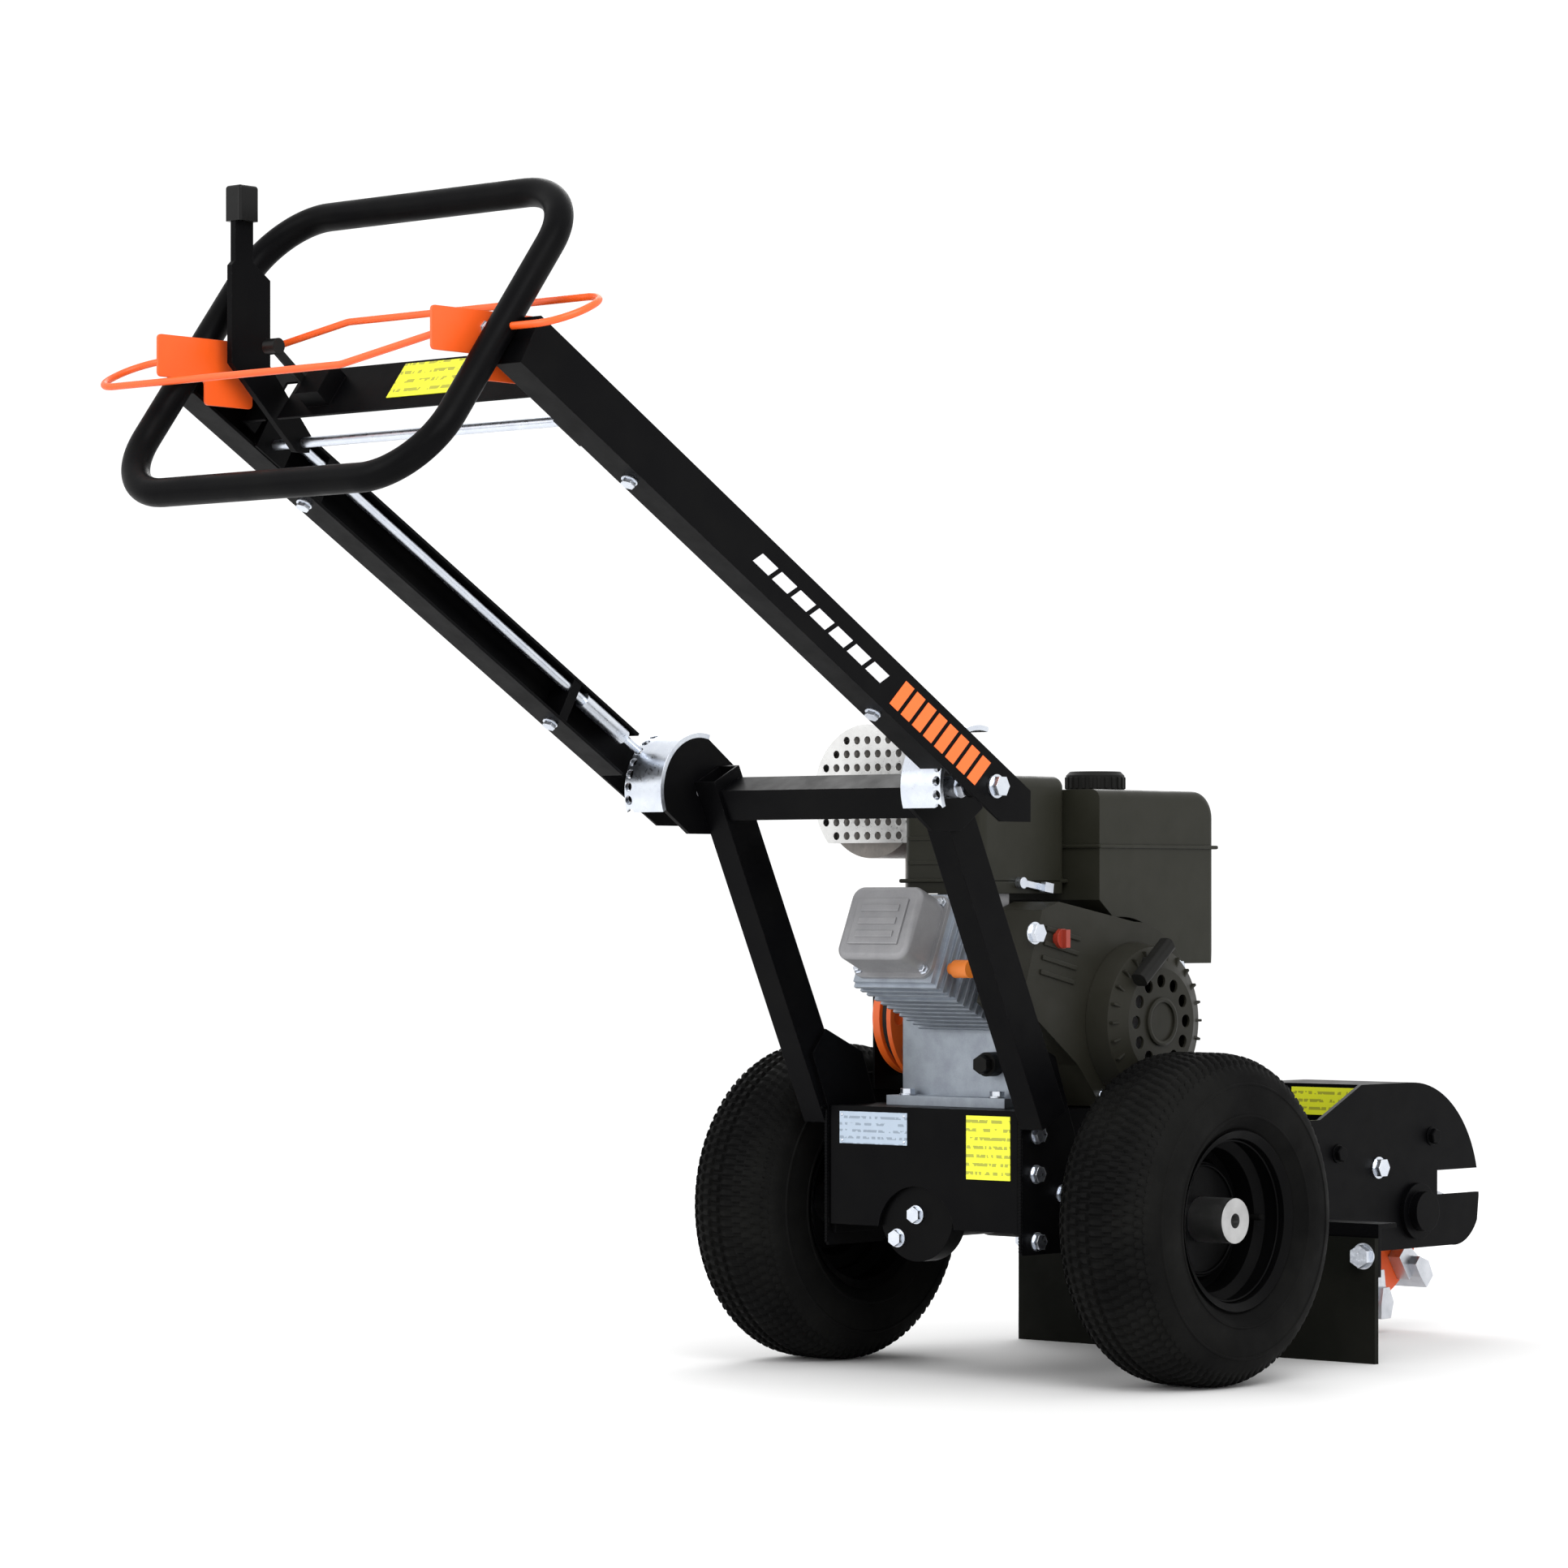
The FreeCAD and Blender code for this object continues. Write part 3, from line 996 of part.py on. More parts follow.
def build_loop():
    long, half = size_of("loop_long"), size_of("loop_half")
    path = rounded_path([(-long, -half, 0), (long, -half, 0), (long, half, 0), (-long, half, 0)],
                        size_of("loop_bend"), closed=True)
    radius = size_of("loop_r")
    shape = tube_along(path, radius).cut(tube_along(path, radius - size_of("loop_wall")))
    hole_r = size_of("bail_wire_r + run_gap")
    drill = Part.makeCylinder(hole_r, 3 * half, FreeCAD.Vector(0, -1.5 * half, 0), FreeCAD.Vector(0, 1, 0))
    loop = doc.addObject("Part::Feature", "loop_handle")
    loop.Shape = shape.cut(drill)
    keep_on_loop("loop_handle", loop)


def build_bail():
    """Two bent wires, each from one rocker across to a pivot end in the other side of the loop."""
    reach, side = size_of("bail_reach"), size_of("bail_side")
    inner = size_of("rocker_in - 0.8")
    pivot_end = size_of("rocker_in + rocker_plate + 0.1")
    wires = []
    for sign in (1, -1):
        points = [
            (sign * size_of("bail_end_reach"), sign * inner, -sign * size_of("bail_end_drop")),
            (sign * reach, sign * size_of("bail_jog"), 0), (sign * reach, -sign * side, 0),
            (0, -sign * side, 0), (0, -sign * pivot_end, 0)]
        wires.append(tube_along(rounded_path(points, size_of("bail_bend")), size_of("bail_wire_r")))
    bail = doc.addObject("Part::Feature", "bail_wire")
    bail.Shape = Part.makeCompound(wires)
    keep("bail_wire", bail, "axle_x + loop_x", "loop_z", "-bail_tilt")

    rockers = []
    for side_sign in SIDES.values():
        rocker = new_body("bail_rocker")
        pad(rocker, "XZ", *across(side_sign, "rocker_in", "rocker_in + rocker_plate"), [
            ("-80", "-28"), ("-10", "-28"), ("-10", "-55"), ("61", "-55"), ("61", "-28"), ("80", "-28"),
            ("80", "19"), ("-80", "19")])
        soften(rocker, "5", lambda edge: lies_along(edge, (0, 1, 0)))
        rockers.append(rocker)
    keep("bail_rockers", group(*rockers), "axle_x + loop_x", "loop_z")


def build_panel():
    panel = new_body("handle_panel")
    half, plate, end = "panel_half", "panel_plate", "arm_in - 0.2"
    pad(panel, "XY", "0", plate, box_loop((f"-{half}", half), (f"-({end})", end)))
    for side in SIDES.values():
        pad(panel, "XY", "-18", "0", box_loop((f"-{half}", half), across(side, f"{end} - 3", end)))
    pocket(panel, "XY", "-1", f"{plate} + 1", box_loop((f"-{half} - 1", "20"), ("180", "200")))
    pad(panel, "XY", plate, "26", box_loop(("-22", "22"), ("104", "140")))
    keep("handle_panel", panel, "axle_x + panel_x", "panel_z", "-loop_slope")

    arm = block(("-5", "5"), ("141", "145"), ("-6", "62"))
    boss = rod("Y", "8", "141", "147")
    knob = rod("Y", "9", "134", "152", ("0", "66"))
    keep("throttle_lever", fuse(arm, boss, knob), "axle_x + panel_x - 14 * sin(loop_slope)",
         "panel_z + 14 * cos(loop_slope)", "-loop_slope")


def build_lock():
    """Lever, cross shaft and cranks turn together; the rods slide inside the arms."""
    lever = new_body("lever")
    pad(lever, "XZ", "lever_in", "lever_out", [
        ("-110", "82"), ("-110", "191"), ("-105", "196"), ("-105", "241"), ("-78", "241"), ("-78", "196"),
        ("-52", "178"), ("-52", "82"), ("11", "8"), ("8", "-11"), ("-12", "-11")],
        ("circle", "0", "0", "cross_r + 0.02"))
    parts = [rod("Y", "cross_r", "-262", "262")]
    rise = "(rod_rise - shaft_drop)"
    for side in SIDES.values():
        crank = block(("-7", "7"), across(side, "crank_in", "crank_out"), ("-7", f"{rise} + 7"))
        pin = rod("Y", "4", *across(side, "rod_y - 4", "crank_in"), ("0", rise))
        piece = fuse(crank, pin)
        place(piece, "0", "0", "arm_slope")
        parts.append(piece)
    place_x = "axle_x + pivot_x + shaft_back * cos(arm_slope) + shaft_drop * sin(arm_slope)"
    place_z = "pivot_z - shaft_back * sin(arm_slope) + shaft_drop * cos(arm_slope)"
    keep("lock_lever", lever, place_x, place_z)
    keep("lock_shaft", fuse(*parts), place_x, place_z)

    knob = new_body("lock_knob")
    pad(knob, "XY", "241", "281", box_loop(("-106", "-77"), ("177", "203")))
    soften(knob, "4", lambda edge: edge.BoundBox.ZMax > 242)
    keep("lock_knob", knob, place_x, place_z)

    for name, side in SIDES.items():
        line = (f"{side} * rod_y", "rod_rise")
        eye = block(("shaft_back - 14", "-756"), across(side, "rod_y - 2.5", "rod_y + 2.5"),
                    ("rod_rise - 9", "rod_rise + 9"))
        slot = block(("shaft_back - 4.3", "shaft_back + 4.3"), across(side, "rod_y - 3", "rod_y + 3"),
                     ("rod_rise - 5.6", "rod_rise + 5.6"))
        shank = rod("X", "rod_r", "-757", "-150", line)
        plunger = rod("X", "plunger_r", "-188", "-104", line)
        tip = rod("X", "tip_r", "-104", "-quad_r - 0.6", line)
        keep_on_arm(name + "_lock_rod", cut(fuse(eye, shank, plunger, tip), slot))


# ---- Build, check and write --------------------------------------------------------------

for name, side in SIDES.items():
    build_wheel(name, side)
for build in (
        build_axle_housing, build_deck, build_uprights, build_quadrants, build_guard, build_flap,
        build_frame_bolts, build_cutter, build_belt, build_belt_guard, build_crank,
        build_engine_block, build_valve_cover, build_blower, build_tank, build_intake,
        build_exhaust, build_engine_small, build_arms, build_loop, build_bail, build_panel,
        build_lock):
    build()

doc.recompute()
for thing in doc.Objects:
    if "Invalid" in thing.State or "Error" in thing.State:
        raise RuntimeError(f"{thing.Label} ({thing.Name}) failed: {thing.State}")

os.makedirs("parts", exist_ok=True)
for node, thing in NODES.items():
    if thing.Shape.isNull() or not thing.Shape.isValid():
        raise RuntimeError(f"{node} has no valid shape")
    thing.Shape.exportStep(f"parts/{node}.step")
    print(node, len(thing.Shape.Solids), round(thing.Shape.Volume))
print(len(NODES), "pieces")
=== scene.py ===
import json
import math

import bmesh
import bpy
from mathutils import Matrix, Vector


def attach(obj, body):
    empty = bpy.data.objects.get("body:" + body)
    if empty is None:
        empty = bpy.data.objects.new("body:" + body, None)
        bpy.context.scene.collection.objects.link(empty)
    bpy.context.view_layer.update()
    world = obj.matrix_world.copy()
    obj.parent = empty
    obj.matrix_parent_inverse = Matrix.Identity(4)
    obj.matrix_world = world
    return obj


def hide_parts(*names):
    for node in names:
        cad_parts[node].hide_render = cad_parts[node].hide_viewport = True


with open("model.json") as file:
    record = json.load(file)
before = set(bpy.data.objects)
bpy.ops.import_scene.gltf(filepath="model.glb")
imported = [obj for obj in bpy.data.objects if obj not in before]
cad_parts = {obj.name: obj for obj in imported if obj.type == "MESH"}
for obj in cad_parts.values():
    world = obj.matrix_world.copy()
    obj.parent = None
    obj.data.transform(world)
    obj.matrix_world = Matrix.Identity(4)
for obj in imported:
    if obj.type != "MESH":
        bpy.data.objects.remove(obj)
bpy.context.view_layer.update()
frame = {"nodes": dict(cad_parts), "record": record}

NODES = frame["nodes"]
AXLE_X = 0.180

# Places in millimetres that the pieces share with the CAD; X is measured from the axle.
AXLE_Z = 203
DECK_BACK, DECK_FRONT, FOOT_FACE = -165, 385, 157
BOOM_TOP, GUARD_FACE = 300, 90
CRANK_X, CRANK_Z, CYLINDER_TILT = 40, 441, 23.2
PIVOT_X, PIVOT_Z, ARM_SLOPE, ARM_FACE = -361, 724, 30.7, 275
PANEL_X, PANEL_Z, LOOP_SLOPE = -1054, 1158, 52.4
LOOP_X, LOOP_Z = -1145, 1198.5

# Edge rounding in metres, texture scales, a label's bare share, and the weld beads' sizes.
PAINT_BEVEL, METAL_BEVEL, PLASTIC_BEVEL = 0.0012, 0.0008, 0.001
PLASTIC_CELLS, RUBBER_GRAIN = 700, 180
INK_SHARE = 0.62
BEAD_RADIUS_MM, BEAD_PITCH_MM, BEAD_STEPS = 2.6, 4.0, 5
BEAD_SIDES = 8


# ---- Materials ---------------------------------------------------------------------------

class Shader:
    """A small helper that adds nodes to one material and links them."""

    def __init__(self, name):
        self.material = bpy.data.materials.new(name)
        self.material.use_nodes = True
        self.tree = self.material.node_tree
        self.surface = self.tree.nodes["Principled BSDF"]
        self.place = self.add("ShaderNodeTexCoord").outputs["Object"]

    def add(self, kind, inputs=None, **settings):
        node = self.tree.nodes.new(kind)
        for key, value in settings.items():
            setattr(node, key, value)
        for key, value in (inputs or {}).items():
            self.feed(node, key, value)
        return node

    def feed(self, node, key, value):
        if isinstance(value, bpy.types.NodeSocket):
            self.tree.links.new(value, node.inputs[key])
        else:
            node.inputs[key].default_value = value

    def noise(self, scale, detail=4.0, rough=0.55, stretch=None):
        place = self.place
        if stretch:
            place = self.add("ShaderNodeMapping", {"Vector": place, "Scale": stretch}).outputs["Vector"]
        return self.add("ShaderNodeTexNoise", {
            "Vector": place, "Scale": scale, "Detail": detail, "Roughness": rough}).outputs["Fac"]

    def spread(self, value, low, high, start=0.3, stop=0.7):
        return self.add("ShaderNodeMapRange", {
            "Value": value, "From Min": start, "From Max": stop, "To Min": low, "To Max": high},
            clamp=True).outputs["Result"]

    def mix(self, share, first, second):
        node = self.add("ShaderNodeMix", data_type="RGBA")
        self.feed(node, 0, share)
        self.feed(node, 6, first)
        self.feed(node, 7, second)
        return node.outputs[2]

    def math(self, operation, first, second):
        return self.add("ShaderNodeMath", {0: first, 1: second}, operation=operation).outputs[0]

    def edges(self, radius):
        """1 along edges sharper than the bevel radius rounds, 0 on flats, and the rounded normal."""
        bevel = self.add("ShaderNodeBevel", {"Radius": radius}, samples=4)
        sharp = self.add("ShaderNodeNewGeometry").outputs["Normal"]
        dot = self.add("ShaderNodeVectorMath", {0: bevel.outputs["Normal"], 1: sharp},
                       operation="DOT_PRODUCT").outputs["Value"]
        return self.spread(dot, 1.0, 0.0, 0.80, 0.985), bevel.outputs["Normal"]

    def bump(self, height, strength, distance, normal=None):
        inputs = {"Height": height, "Strength": strength, "Distance": distance}
        if normal is not None:
            inputs["Normal"] = normal
        return self.add("ShaderNodeBump", inputs).outputs["Normal"]


def rgba(colour):
    return (*colour, 1.0)


def painted(name, colour, dusty, rough=(0.32, 0.5), peel=0.10, worn=None, worn_share=0.5, shine=0.5):
    """Powder coat or paint: orange peel, cloudy gloss, dust in patches, wear on the edges."""
    s = Shader(name)
    cloud = s.noise(14, 5)
    fine = s.noise(420, 2)
    edge, normal = s.edges(PAINT_BEVEL)
    tone = s.mix(s.spread(cloud, 0.0, 0.55, 0.42, 0.75), rgba(colour), rgba(dusty))
    if worn:
        chips = s.spread(s.noise(95, 4, 0.7), 0.0, 1.0, 0.52, 0.66)
        share = s.math("MULTIPLY", s.math("MULTIPLY", edge, chips), worn_share)
        tone = s.mix(share, tone, rgba(worn))
    s.feed(s.surface, "Base Color", tone)
    s.feed(s.surface, "Roughness", s.spread(s.noise(33, 4), rough[0], rough[1]))
    s.feed(s.surface, "Normal", s.bump(fine, peel, 0.0004, normal))
    s.surface.inputs["Specular IOR Level"].default_value = shine
    return s.material


def bare_metal(name, colour, second, rough=(0.22, 0.42), grain=260, metal=1.0, bump=0.12):
    """Plated, brushed or cast metal, with a painted highlight along its edges."""
    s = Shader(name)
    lines = s.noise(grain, 3, 0.6)
    edge, normal = s.edges(METAL_BEVEL)
    tone = s.mix(s.spread(s.noise(40, 4), 0.0, 1.0, 0.35, 0.7), rgba(colour), rgba(second))
    # Painted highlight: a lighter copy of the colour along the edges.
    tone = s.mix(s.math("MULTIPLY", edge, 0.35), tone, rgba([min(1, c * 1.5) for c in colour]))
    s.feed(s.surface, "Base Color", tone)
    s.surface.inputs["Metallic"].default_value = metal
    s.feed(s.surface, "Roughness", s.spread(lines, rough[0], rough[1]))
    s.feed(s.surface, "Normal", s.bump(lines, bump, 0.0003, normal))
    return s.material


def rubbery(name, colour, second, rough=(0.62, 0.82), shine=0.5):
    """Dull rubber, cloudy in tone and finely rough."""
    s = Shader(name)
    tone = s.mix(s.spread(s.noise(9, 5), 0.0, 1.0, 0.4, 0.7), rgba(colour), rgba(second))
    s.feed(s.surface, "Base Color", tone)
    s.feed(s.surface, "Roughness", s.spread(s.noise(26, 4), rough[0], rough[1]))
    s.feed(s.surface, "Normal", s.bump(s.noise(RUBBER_GRAIN, 4), 0.25, 0.0006))
    s.surface.inputs["Specular IOR Level"].default_value = shine
    return s.material


def plastic(name, colour, second, rough=(0.4, 0.55), shine=0.5):
    """Moulded plastic with a fine leathery grain."""
    s = Shader(name)
    cells = s.add("ShaderNodeTexVoronoi", {"Vector": s.place, "Scale": PLASTIC_CELLS}).outputs["Distance"]
    _, normal = s.edges(PLASTIC_BEVEL)
    tone = s.mix(s.spread(s.noise(12, 4), 0.0, 1.0, 0.4, 0.7), rgba(colour), rgba(second))
    s.feed(s.surface, "Base Color", tone)
    s.feed(s.surface, "Roughness", s.spread(s.noise(30, 3), rough[0], rough[1]))
    s.feed(s.surface, "Normal", s.bump(cells, 0.12, 0.0002, normal))
    s.surface.inputs["Specular IOR Level"].default_value = shine
    return s.material


MATERIALS = {
    "frame_paint": painted("black_powder_coat", (0.0018, 0.0018, 0.0022), (0.004, 0.004, 0.0038), shine=0.04,
                           rough=(0.34, 0.48), worn=(0.06, 0.06, 0.06), worn_share=0.3),
    "rim_paint": painted("black_rim_paint", (0.0016, 0.0016, 0.0018), (0.0035, 0.0035, 0.0033),
                         rough=(0.3, 0.45), shine=0.05),
    "orange_paint": painted("orange_powder_coat", (0.80, 0.095, 0.008), (0.72, 0.085, 0.008),
                            rough=(0.35, 0.5), worn=(0.35, 0.30, 0.25), worn_share=0.4),
    "clutch_paint": painted("clutch_orange", (0.78, 0.12, 0.01), (0.70, 0.11, 0.012), rough=(0.35, 0.5),
                            worn=(0.35, 0.3, 0.25)),
    "shroud_paint": painted("olive_shroud", (0.015, 0.0146, 0.0105), (0.021, 0.020, 0.015),
                            rough=(0.4, 0.55), shine=0.15),
    "tank_paint": painted("olive_tank", (0.0158, 0.0158, 0.011), (0.021, 0.0206, 0.015),
                          rough=(0.36, 0.5), shine=0.15),
    "zinc": bare_metal("zinc_plate", (0.70, 0.74, 0.80), (0.60, 0.64, 0.72), rough=(0.25, 0.4)),
    "bare_steel": bare_metal("machined_steel", (0.42, 0.42, 0.43), (0.34, 0.34, 0.35)),
    "hub_steel": bare_metal("hub_steel", (0.48, 0.48, 0.48), (0.38, 0.38, 0.38), rough=(0.3, 0.45)),
    "carbide": bare_metal("tooth_steel", (0.62, 0.64, 0.68), (0.50, 0.52, 0.56), rough=(0.3, 0.5)),
    "engine_alloy": bare_metal("cast_alloy", (0.38, 0.42, 0.47), (0.30, 0.33, 0.38), rough=(0.45, 0.62),
                               grain=500, metal=0.75, bump=0.35),
    "cover_alloy": bare_metal("cover_alloy", (0.28, 0.28, 0.29), (0.24, 0.24, 0.25), rough=(0.45, 0.6),
                              grain=450, metal=0.5, bump=0.3),
    "muffler_steel": bare_metal("muffler_steel", (0.20, 0.19, 0.18), (0.28, 0.26, 0.24), rough=(0.4, 0.6)),
    "shield_steel": bare_metal("shield_steel", (0.80, 0.80, 0.79), (0.70, 0.70, 0.69), rough=(0.25, 0.4)),
    "tyre_rubber": rubbery("tyre_rubber", (0.003, 0.003, 0.003), (0.007, 0.007, 0.0065), shine=0.05),
    "flap_rubber": rubbery("flap_rubber", (0.006, 0.0065, 0.005), (0.010, 0.010, 0.008),
                           rough=(0.55, 0.75), shine=0.05),
    "belt_rubber": rubbery("belt_rubber", (0.010, 0.010, 0.010), (0.016, 0.016, 0.016), shine=0.2),
    "boot_rubber": rubbery("boot_rubber", (0.75, 0.20, 0.02), (0.65, 0.17, 0.02), rough=(0.4, 0.55)),
    "black_plastic": plastic("black_plastic", (0.007, 0.007, 0.0065), (0.011, 0.011, 0.010), shine=0.1),
    "knob_plastic": plastic("knob_plastic", (0.004, 0.004, 0.004), (0.007, 0.007, 0.007),
                            rough=(0.25, 0.4), shine=0.15),
    "switch_red": plastic("switch_red", (0.30, 0.03, 0.015), (0.25, 0.025, 0.012), rough=(0.3, 0.45)),
}

for row in frame["record"]["subparts"]:
    node = NODES[row["node"]]
    node.data.materials.clear()
    node.data.materials.append(MATERIALS[row["material_slot"]])


# ---- Mesh helpers ------------------------------------------------------------------------

def at(x, y, z):
    """A place given in millimetres from the ground under the axle."""
    return Vector((x / 1000 + AXLE_X, y / 1000, z / 1000))


def frame_at(origin, turn):
    """A local frame turned about Y by degrees, in the sense that lifts -X for a positive turn."""
    return Matrix.Translation(origin) @ Matrix.Rotation(math.radians(turn), 4, "Y")


def piece(name, mesh, body, slot, material=None, smooth=False):
    """Makes an object that rides on a body, finished with the given material, else with its slot's."""
    thing = bpy.data.objects.new(name, mesh)
    bpy.context.scene.collection.objects.link(thing)
    mesh.materials.append(material or MATERIALS[slot])
    mesh.polygons.foreach_set("use_smooth", [smooth] * len(mesh.polygons))
    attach(thing, body)
    return thing


def mesh_of(build):
    """A mesh from a bmesh, with its faces pointing outwards."""
    bmesh.ops.recalc_face_normals(build, faces=build.faces)
    mesh = bpy.data.meshes.new("piece")
    build.to_mesh(mesh)
    build.free()
    return mesh


def add_slab(build, low, high, bevel, where=Matrix()):
    """A box with rounded edges between two corners in millimetres, put somewhere by a matrix."""
    size = [(b - a) / 1000 for a, b in zip(low, high)]
    middle = Vector([(a + b) / 2000 for a, b in zip(low, high)])
    made = bmesh.ops.create_cube(build, size=1)["verts"]
    for vert in made:
        vert.co = Vector([c * s for c, s in zip(vert.co, size)]) + middle
    edges = list({edge for vert in made for edge in vert.link_edges})
    grown = bmesh.ops.bevel(build, geom=edges, offset=bevel / 1000, segments=2, affect="EDGES",
                            profile=0.6)["verts"]
    for vert in {v for v in made if v.is_valid} | {v for v in grown if v.is_valid}:
        vert.co = where @ vert.co


def add_grid(build, rows, closed=False):
    """Faces over rings of points; closed joins the last ring to the first."""
    verts = [[build.verts.new(point) for point in row] for row in rows]
    rings, count = len(verts), len(verts[0])
    for i in range(rings if closed else rings - 1):
        for j in range(count):
            a, b = verts[i], verts[(i + 1) % rings]
            k = (j + 1) % count
            build.faces.new((a[j], a[k], b[k], b[j]))
    return verts


def add_lathe(build, profile, centre, axis, count=64, closed=False):
    """Turns a profile of (radius, distance along the axis), in millimetres, about an axis."""
    axis = Vector(axis).normalized()
    first = axis.orthogonal().normalized()
    second = axis.cross(first)
    rows = []
    for radius, along in profile:
        rows.append([centre + axis * (along / 1000) + (first * math.cos(2 * math.pi * i / count)
                     + second * math.sin(2 * math.pi * i / count)) * (radius / 1000)
                     for i in range(count)])
    verts = add_grid(build, rows, closed)
    if not closed:
        build.faces.new(verts[0])
        build.faces.new(verts[-1])


def add_tube(build, points, radii, count):
    """A tube of count sides through points, with its own radius (in millimetres) at each."""
    rows = []
    side = None
    for i, point in enumerate(points):
        way = (points[min(i + 1, len(points) - 1)] - points[max(i - 1, 0)]).normalized()
        side = (side - way * side.dot(way)).normalized() if side else way.orthogonal().normalized()
        other = way.cross(side)
        rows.append([point + (side * math.cos(2 * math.pi * j / count)
                     + other * math.sin(2 * math.pi * j / count)) * (radii[i] / 1000)
                     for j in range(count)])
    verts = add_grid(build, rows)
    build.faces.new(verts[0])
    build.faces.new(verts[-1])


def add_bead(build, start, stop):
    """A weld bead: overlapping ripples along a line."""
    run = (stop - start).length * 1000
    count = max(8, round(run / BEAD_PITCH_MM * BEAD_STEPS))
    points = [start.lerp(stop, i / count) for i in range(count + 1)]
    radii = [BEAD_RADIUS_MM * (0.72 + 0.28 * abs(math.sin(math.pi * i / BEAD_STEPS)))
             for i in range(count + 1)]
    add_tube(build, points, radii, BEAD_SIDES)


# ---- Tyres -------------------------------------------------------------------------------

TRACK, TREAD_DEEP, SHOULDER_R, SHOULDER_FADE = 296, 4.2, 183, 10
TYRE_STEPS, TREAD_CYCLE, BLOCK_STEPS, STAGGER = 480, 5, 2, 3
WALL = [(103, 58.5), (104, 59.6), (111, 60.6), (117, 67), (123, 73), (126, 75.2), (127, 76.6), (129, 76.7),
        (130, 75.6), (138, 76.4), (146, 76.8), (158, 75.6), (164, 74.4), (165.2, 75.2), (167, 74.8),
        (168, 73.0), (176, 70.4), (182, 67.6)]
CROWN = [(186.5, 64.5), (188.6, 62.6), (189.4, 61.8), (190.2, 61.0), (193.5, 57.6), (195.4, 55.2),
         (196.2, 54.0), (197.0, 52.8), (199.8, 46.8), (201.2, 42.4), (201.5, 41.0), (201.8, 39.6),
         (202.6, 32.6), (202.9, 27.6), (202.95, 26.2), (203, 24.8), (203, 17.6), (203, 12.8),
         (203, 11.4), (203, 10.0), (203, 2.4)]


def tyre_rows():
    """The outer skin's rows from one bead to the other: radius, offset, and the tread's row or None."""
    half = [(r, y, None) for r, y in WALL]
    for i, (r, y) in enumerate(CROWN):
        half.append((r, y, i // 4 if i % 4 in (0, 1) else -1))
    rows = half + [(r, -y, tread) for r, y, tread in reversed(half)]
    inner = [(103, -50), (145, -68), (188, -40), (188, 40), (145, 68), (103, 50)]
    return rows + [(r, y, None) for r, y in inner]


def build_tyre(name, side):
    """A turf tyre: staggered small blocks across the crown, ribs on the walls."""
    centre = at(0, side * TRACK, AXLE_Z)
    rows = []
    for radius, offset, tread in tyre_rows():
        row = []
        shift = 0 if tread is None else STAGGER * (tread % 2)
        for i in range(TYRE_STEPS):
            deep = 0
            if tread is not None and (tread < 0 or (i + shift) % TREAD_CYCLE > BLOCK_STEPS):
                deep = TREAD_DEEP * min(1.0, (radius - SHOULDER_R) / SHOULDER_FADE)
            angle = 2 * math.pi * i / TYRE_STEPS
            reach = (radius - deep) / 1000
            row.append(centre + Vector((reach * math.cos(angle), offset / 1000, reach * math.sin(angle))))
        rows.append(row)
    build = bmesh.new()
    add_grid(build, rows, closed=True)
    tyre = piece(name + "_turf_tyre", mesh_of(build), name + "_wheel", "tyre_rubber", smooth=True)
    crease = tyre.modifiers.new("crease", "EDGE_SPLIT")
    crease.split_angle = math.radians(38)
    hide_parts(name + "_tyre")

    build = bmesh.new()
    stem = centre + Vector((0.081, side * 0.008, 0))
    add_lathe(build, [(4.5, 0), (5.5, 3), (4, 6), (3.2, 8), (3.2, 20), (4.2, 21), (4.2, 30), (3.4, 32)],
              stem, (0, side, 0), 20)
    piece(name + "_valve_stem", mesh_of(build), name + "_wheel", "tyre_rubber")

    build = bmesh.new()
    for radius, along in ((97.5, 50), (66, 8)):
        add_lathe(build, [(radius, side * along), (radius + 1.8, side * (along + 0.9)),
                          (radius + 1.8, side * (along + 1.6)), (radius, side * (along + 2.5)),
                          (radius - 1.8, side * (along + 1.6)), (radius - 1.8, side * (along + 0.9))],
                  centre, (0, 1, 0), 96, closed=True)
    piece(name + "_rim_beads", mesh_of(build), name + "_wheel", "rim_paint", smooth=True)


build_tyre("left", 1)
build_tyre("right", -1)


# ---- Labels and stripes ------------------------------------------------------------------

def label_material(name, colour, ink, bars, metal=0.0):
    """A printed plate with generic bars of ink, scuffed a little, and no lettering."""
    s = Shader(name)
    flow = s.add("ShaderNodeSeparateXYZ", {"Vector": s.place})
    stripes = s.math("PINGPONG", s.math("MULTIPLY", flow.outputs["Z"], bars), 0.5)
    blocks = s.noise(1.0, 1.0, 0.4, (60, 160, bars * 0.9))
    inked = s.math("MULTIPLY", s.math("GREATER_THAN", stripes, INK_SHARE * 0.5),
                   s.math("GREATER_THAN", blocks, 0.47))
    tone = s.mix(s.spread(s.noise(60, 4), 0, 0.25), rgba(colour), rgba([c * 0.8 for c in colour]))
    s.feed(s.surface, "Base Color", s.mix(s.math("MULTIPLY", inked, 0.85), tone, rgba(ink)))
    s.surface.inputs["Metallic"].default_value = metal
    s.feed(s.surface, "Roughness", s.spread(s.noise(45, 3), 0.35, 0.5))
    s.feed(s.surface, "Normal", s.bump(s.noise(300, 3), 0.06, 0.0002))
    return s.material


YELLOW = label_material("yellow_label", (0.76, 0.80, 0.025), (0.30, 0.30, 0.03), 95)
PLATE = label_material("data_plate", (0.42, 0.50, 0.60), (0.22, 0.27, 0.33), 120, metal=0.3)


def add_label(name, low, high, body, slot, material, where):
    """A thin plate with a printed face, between two corners in millimetres."""
    build = bmesh.new()
    add_slab(build, low, high, 0.25, where)
    piece(name, mesh_of(build), body, slot, material)


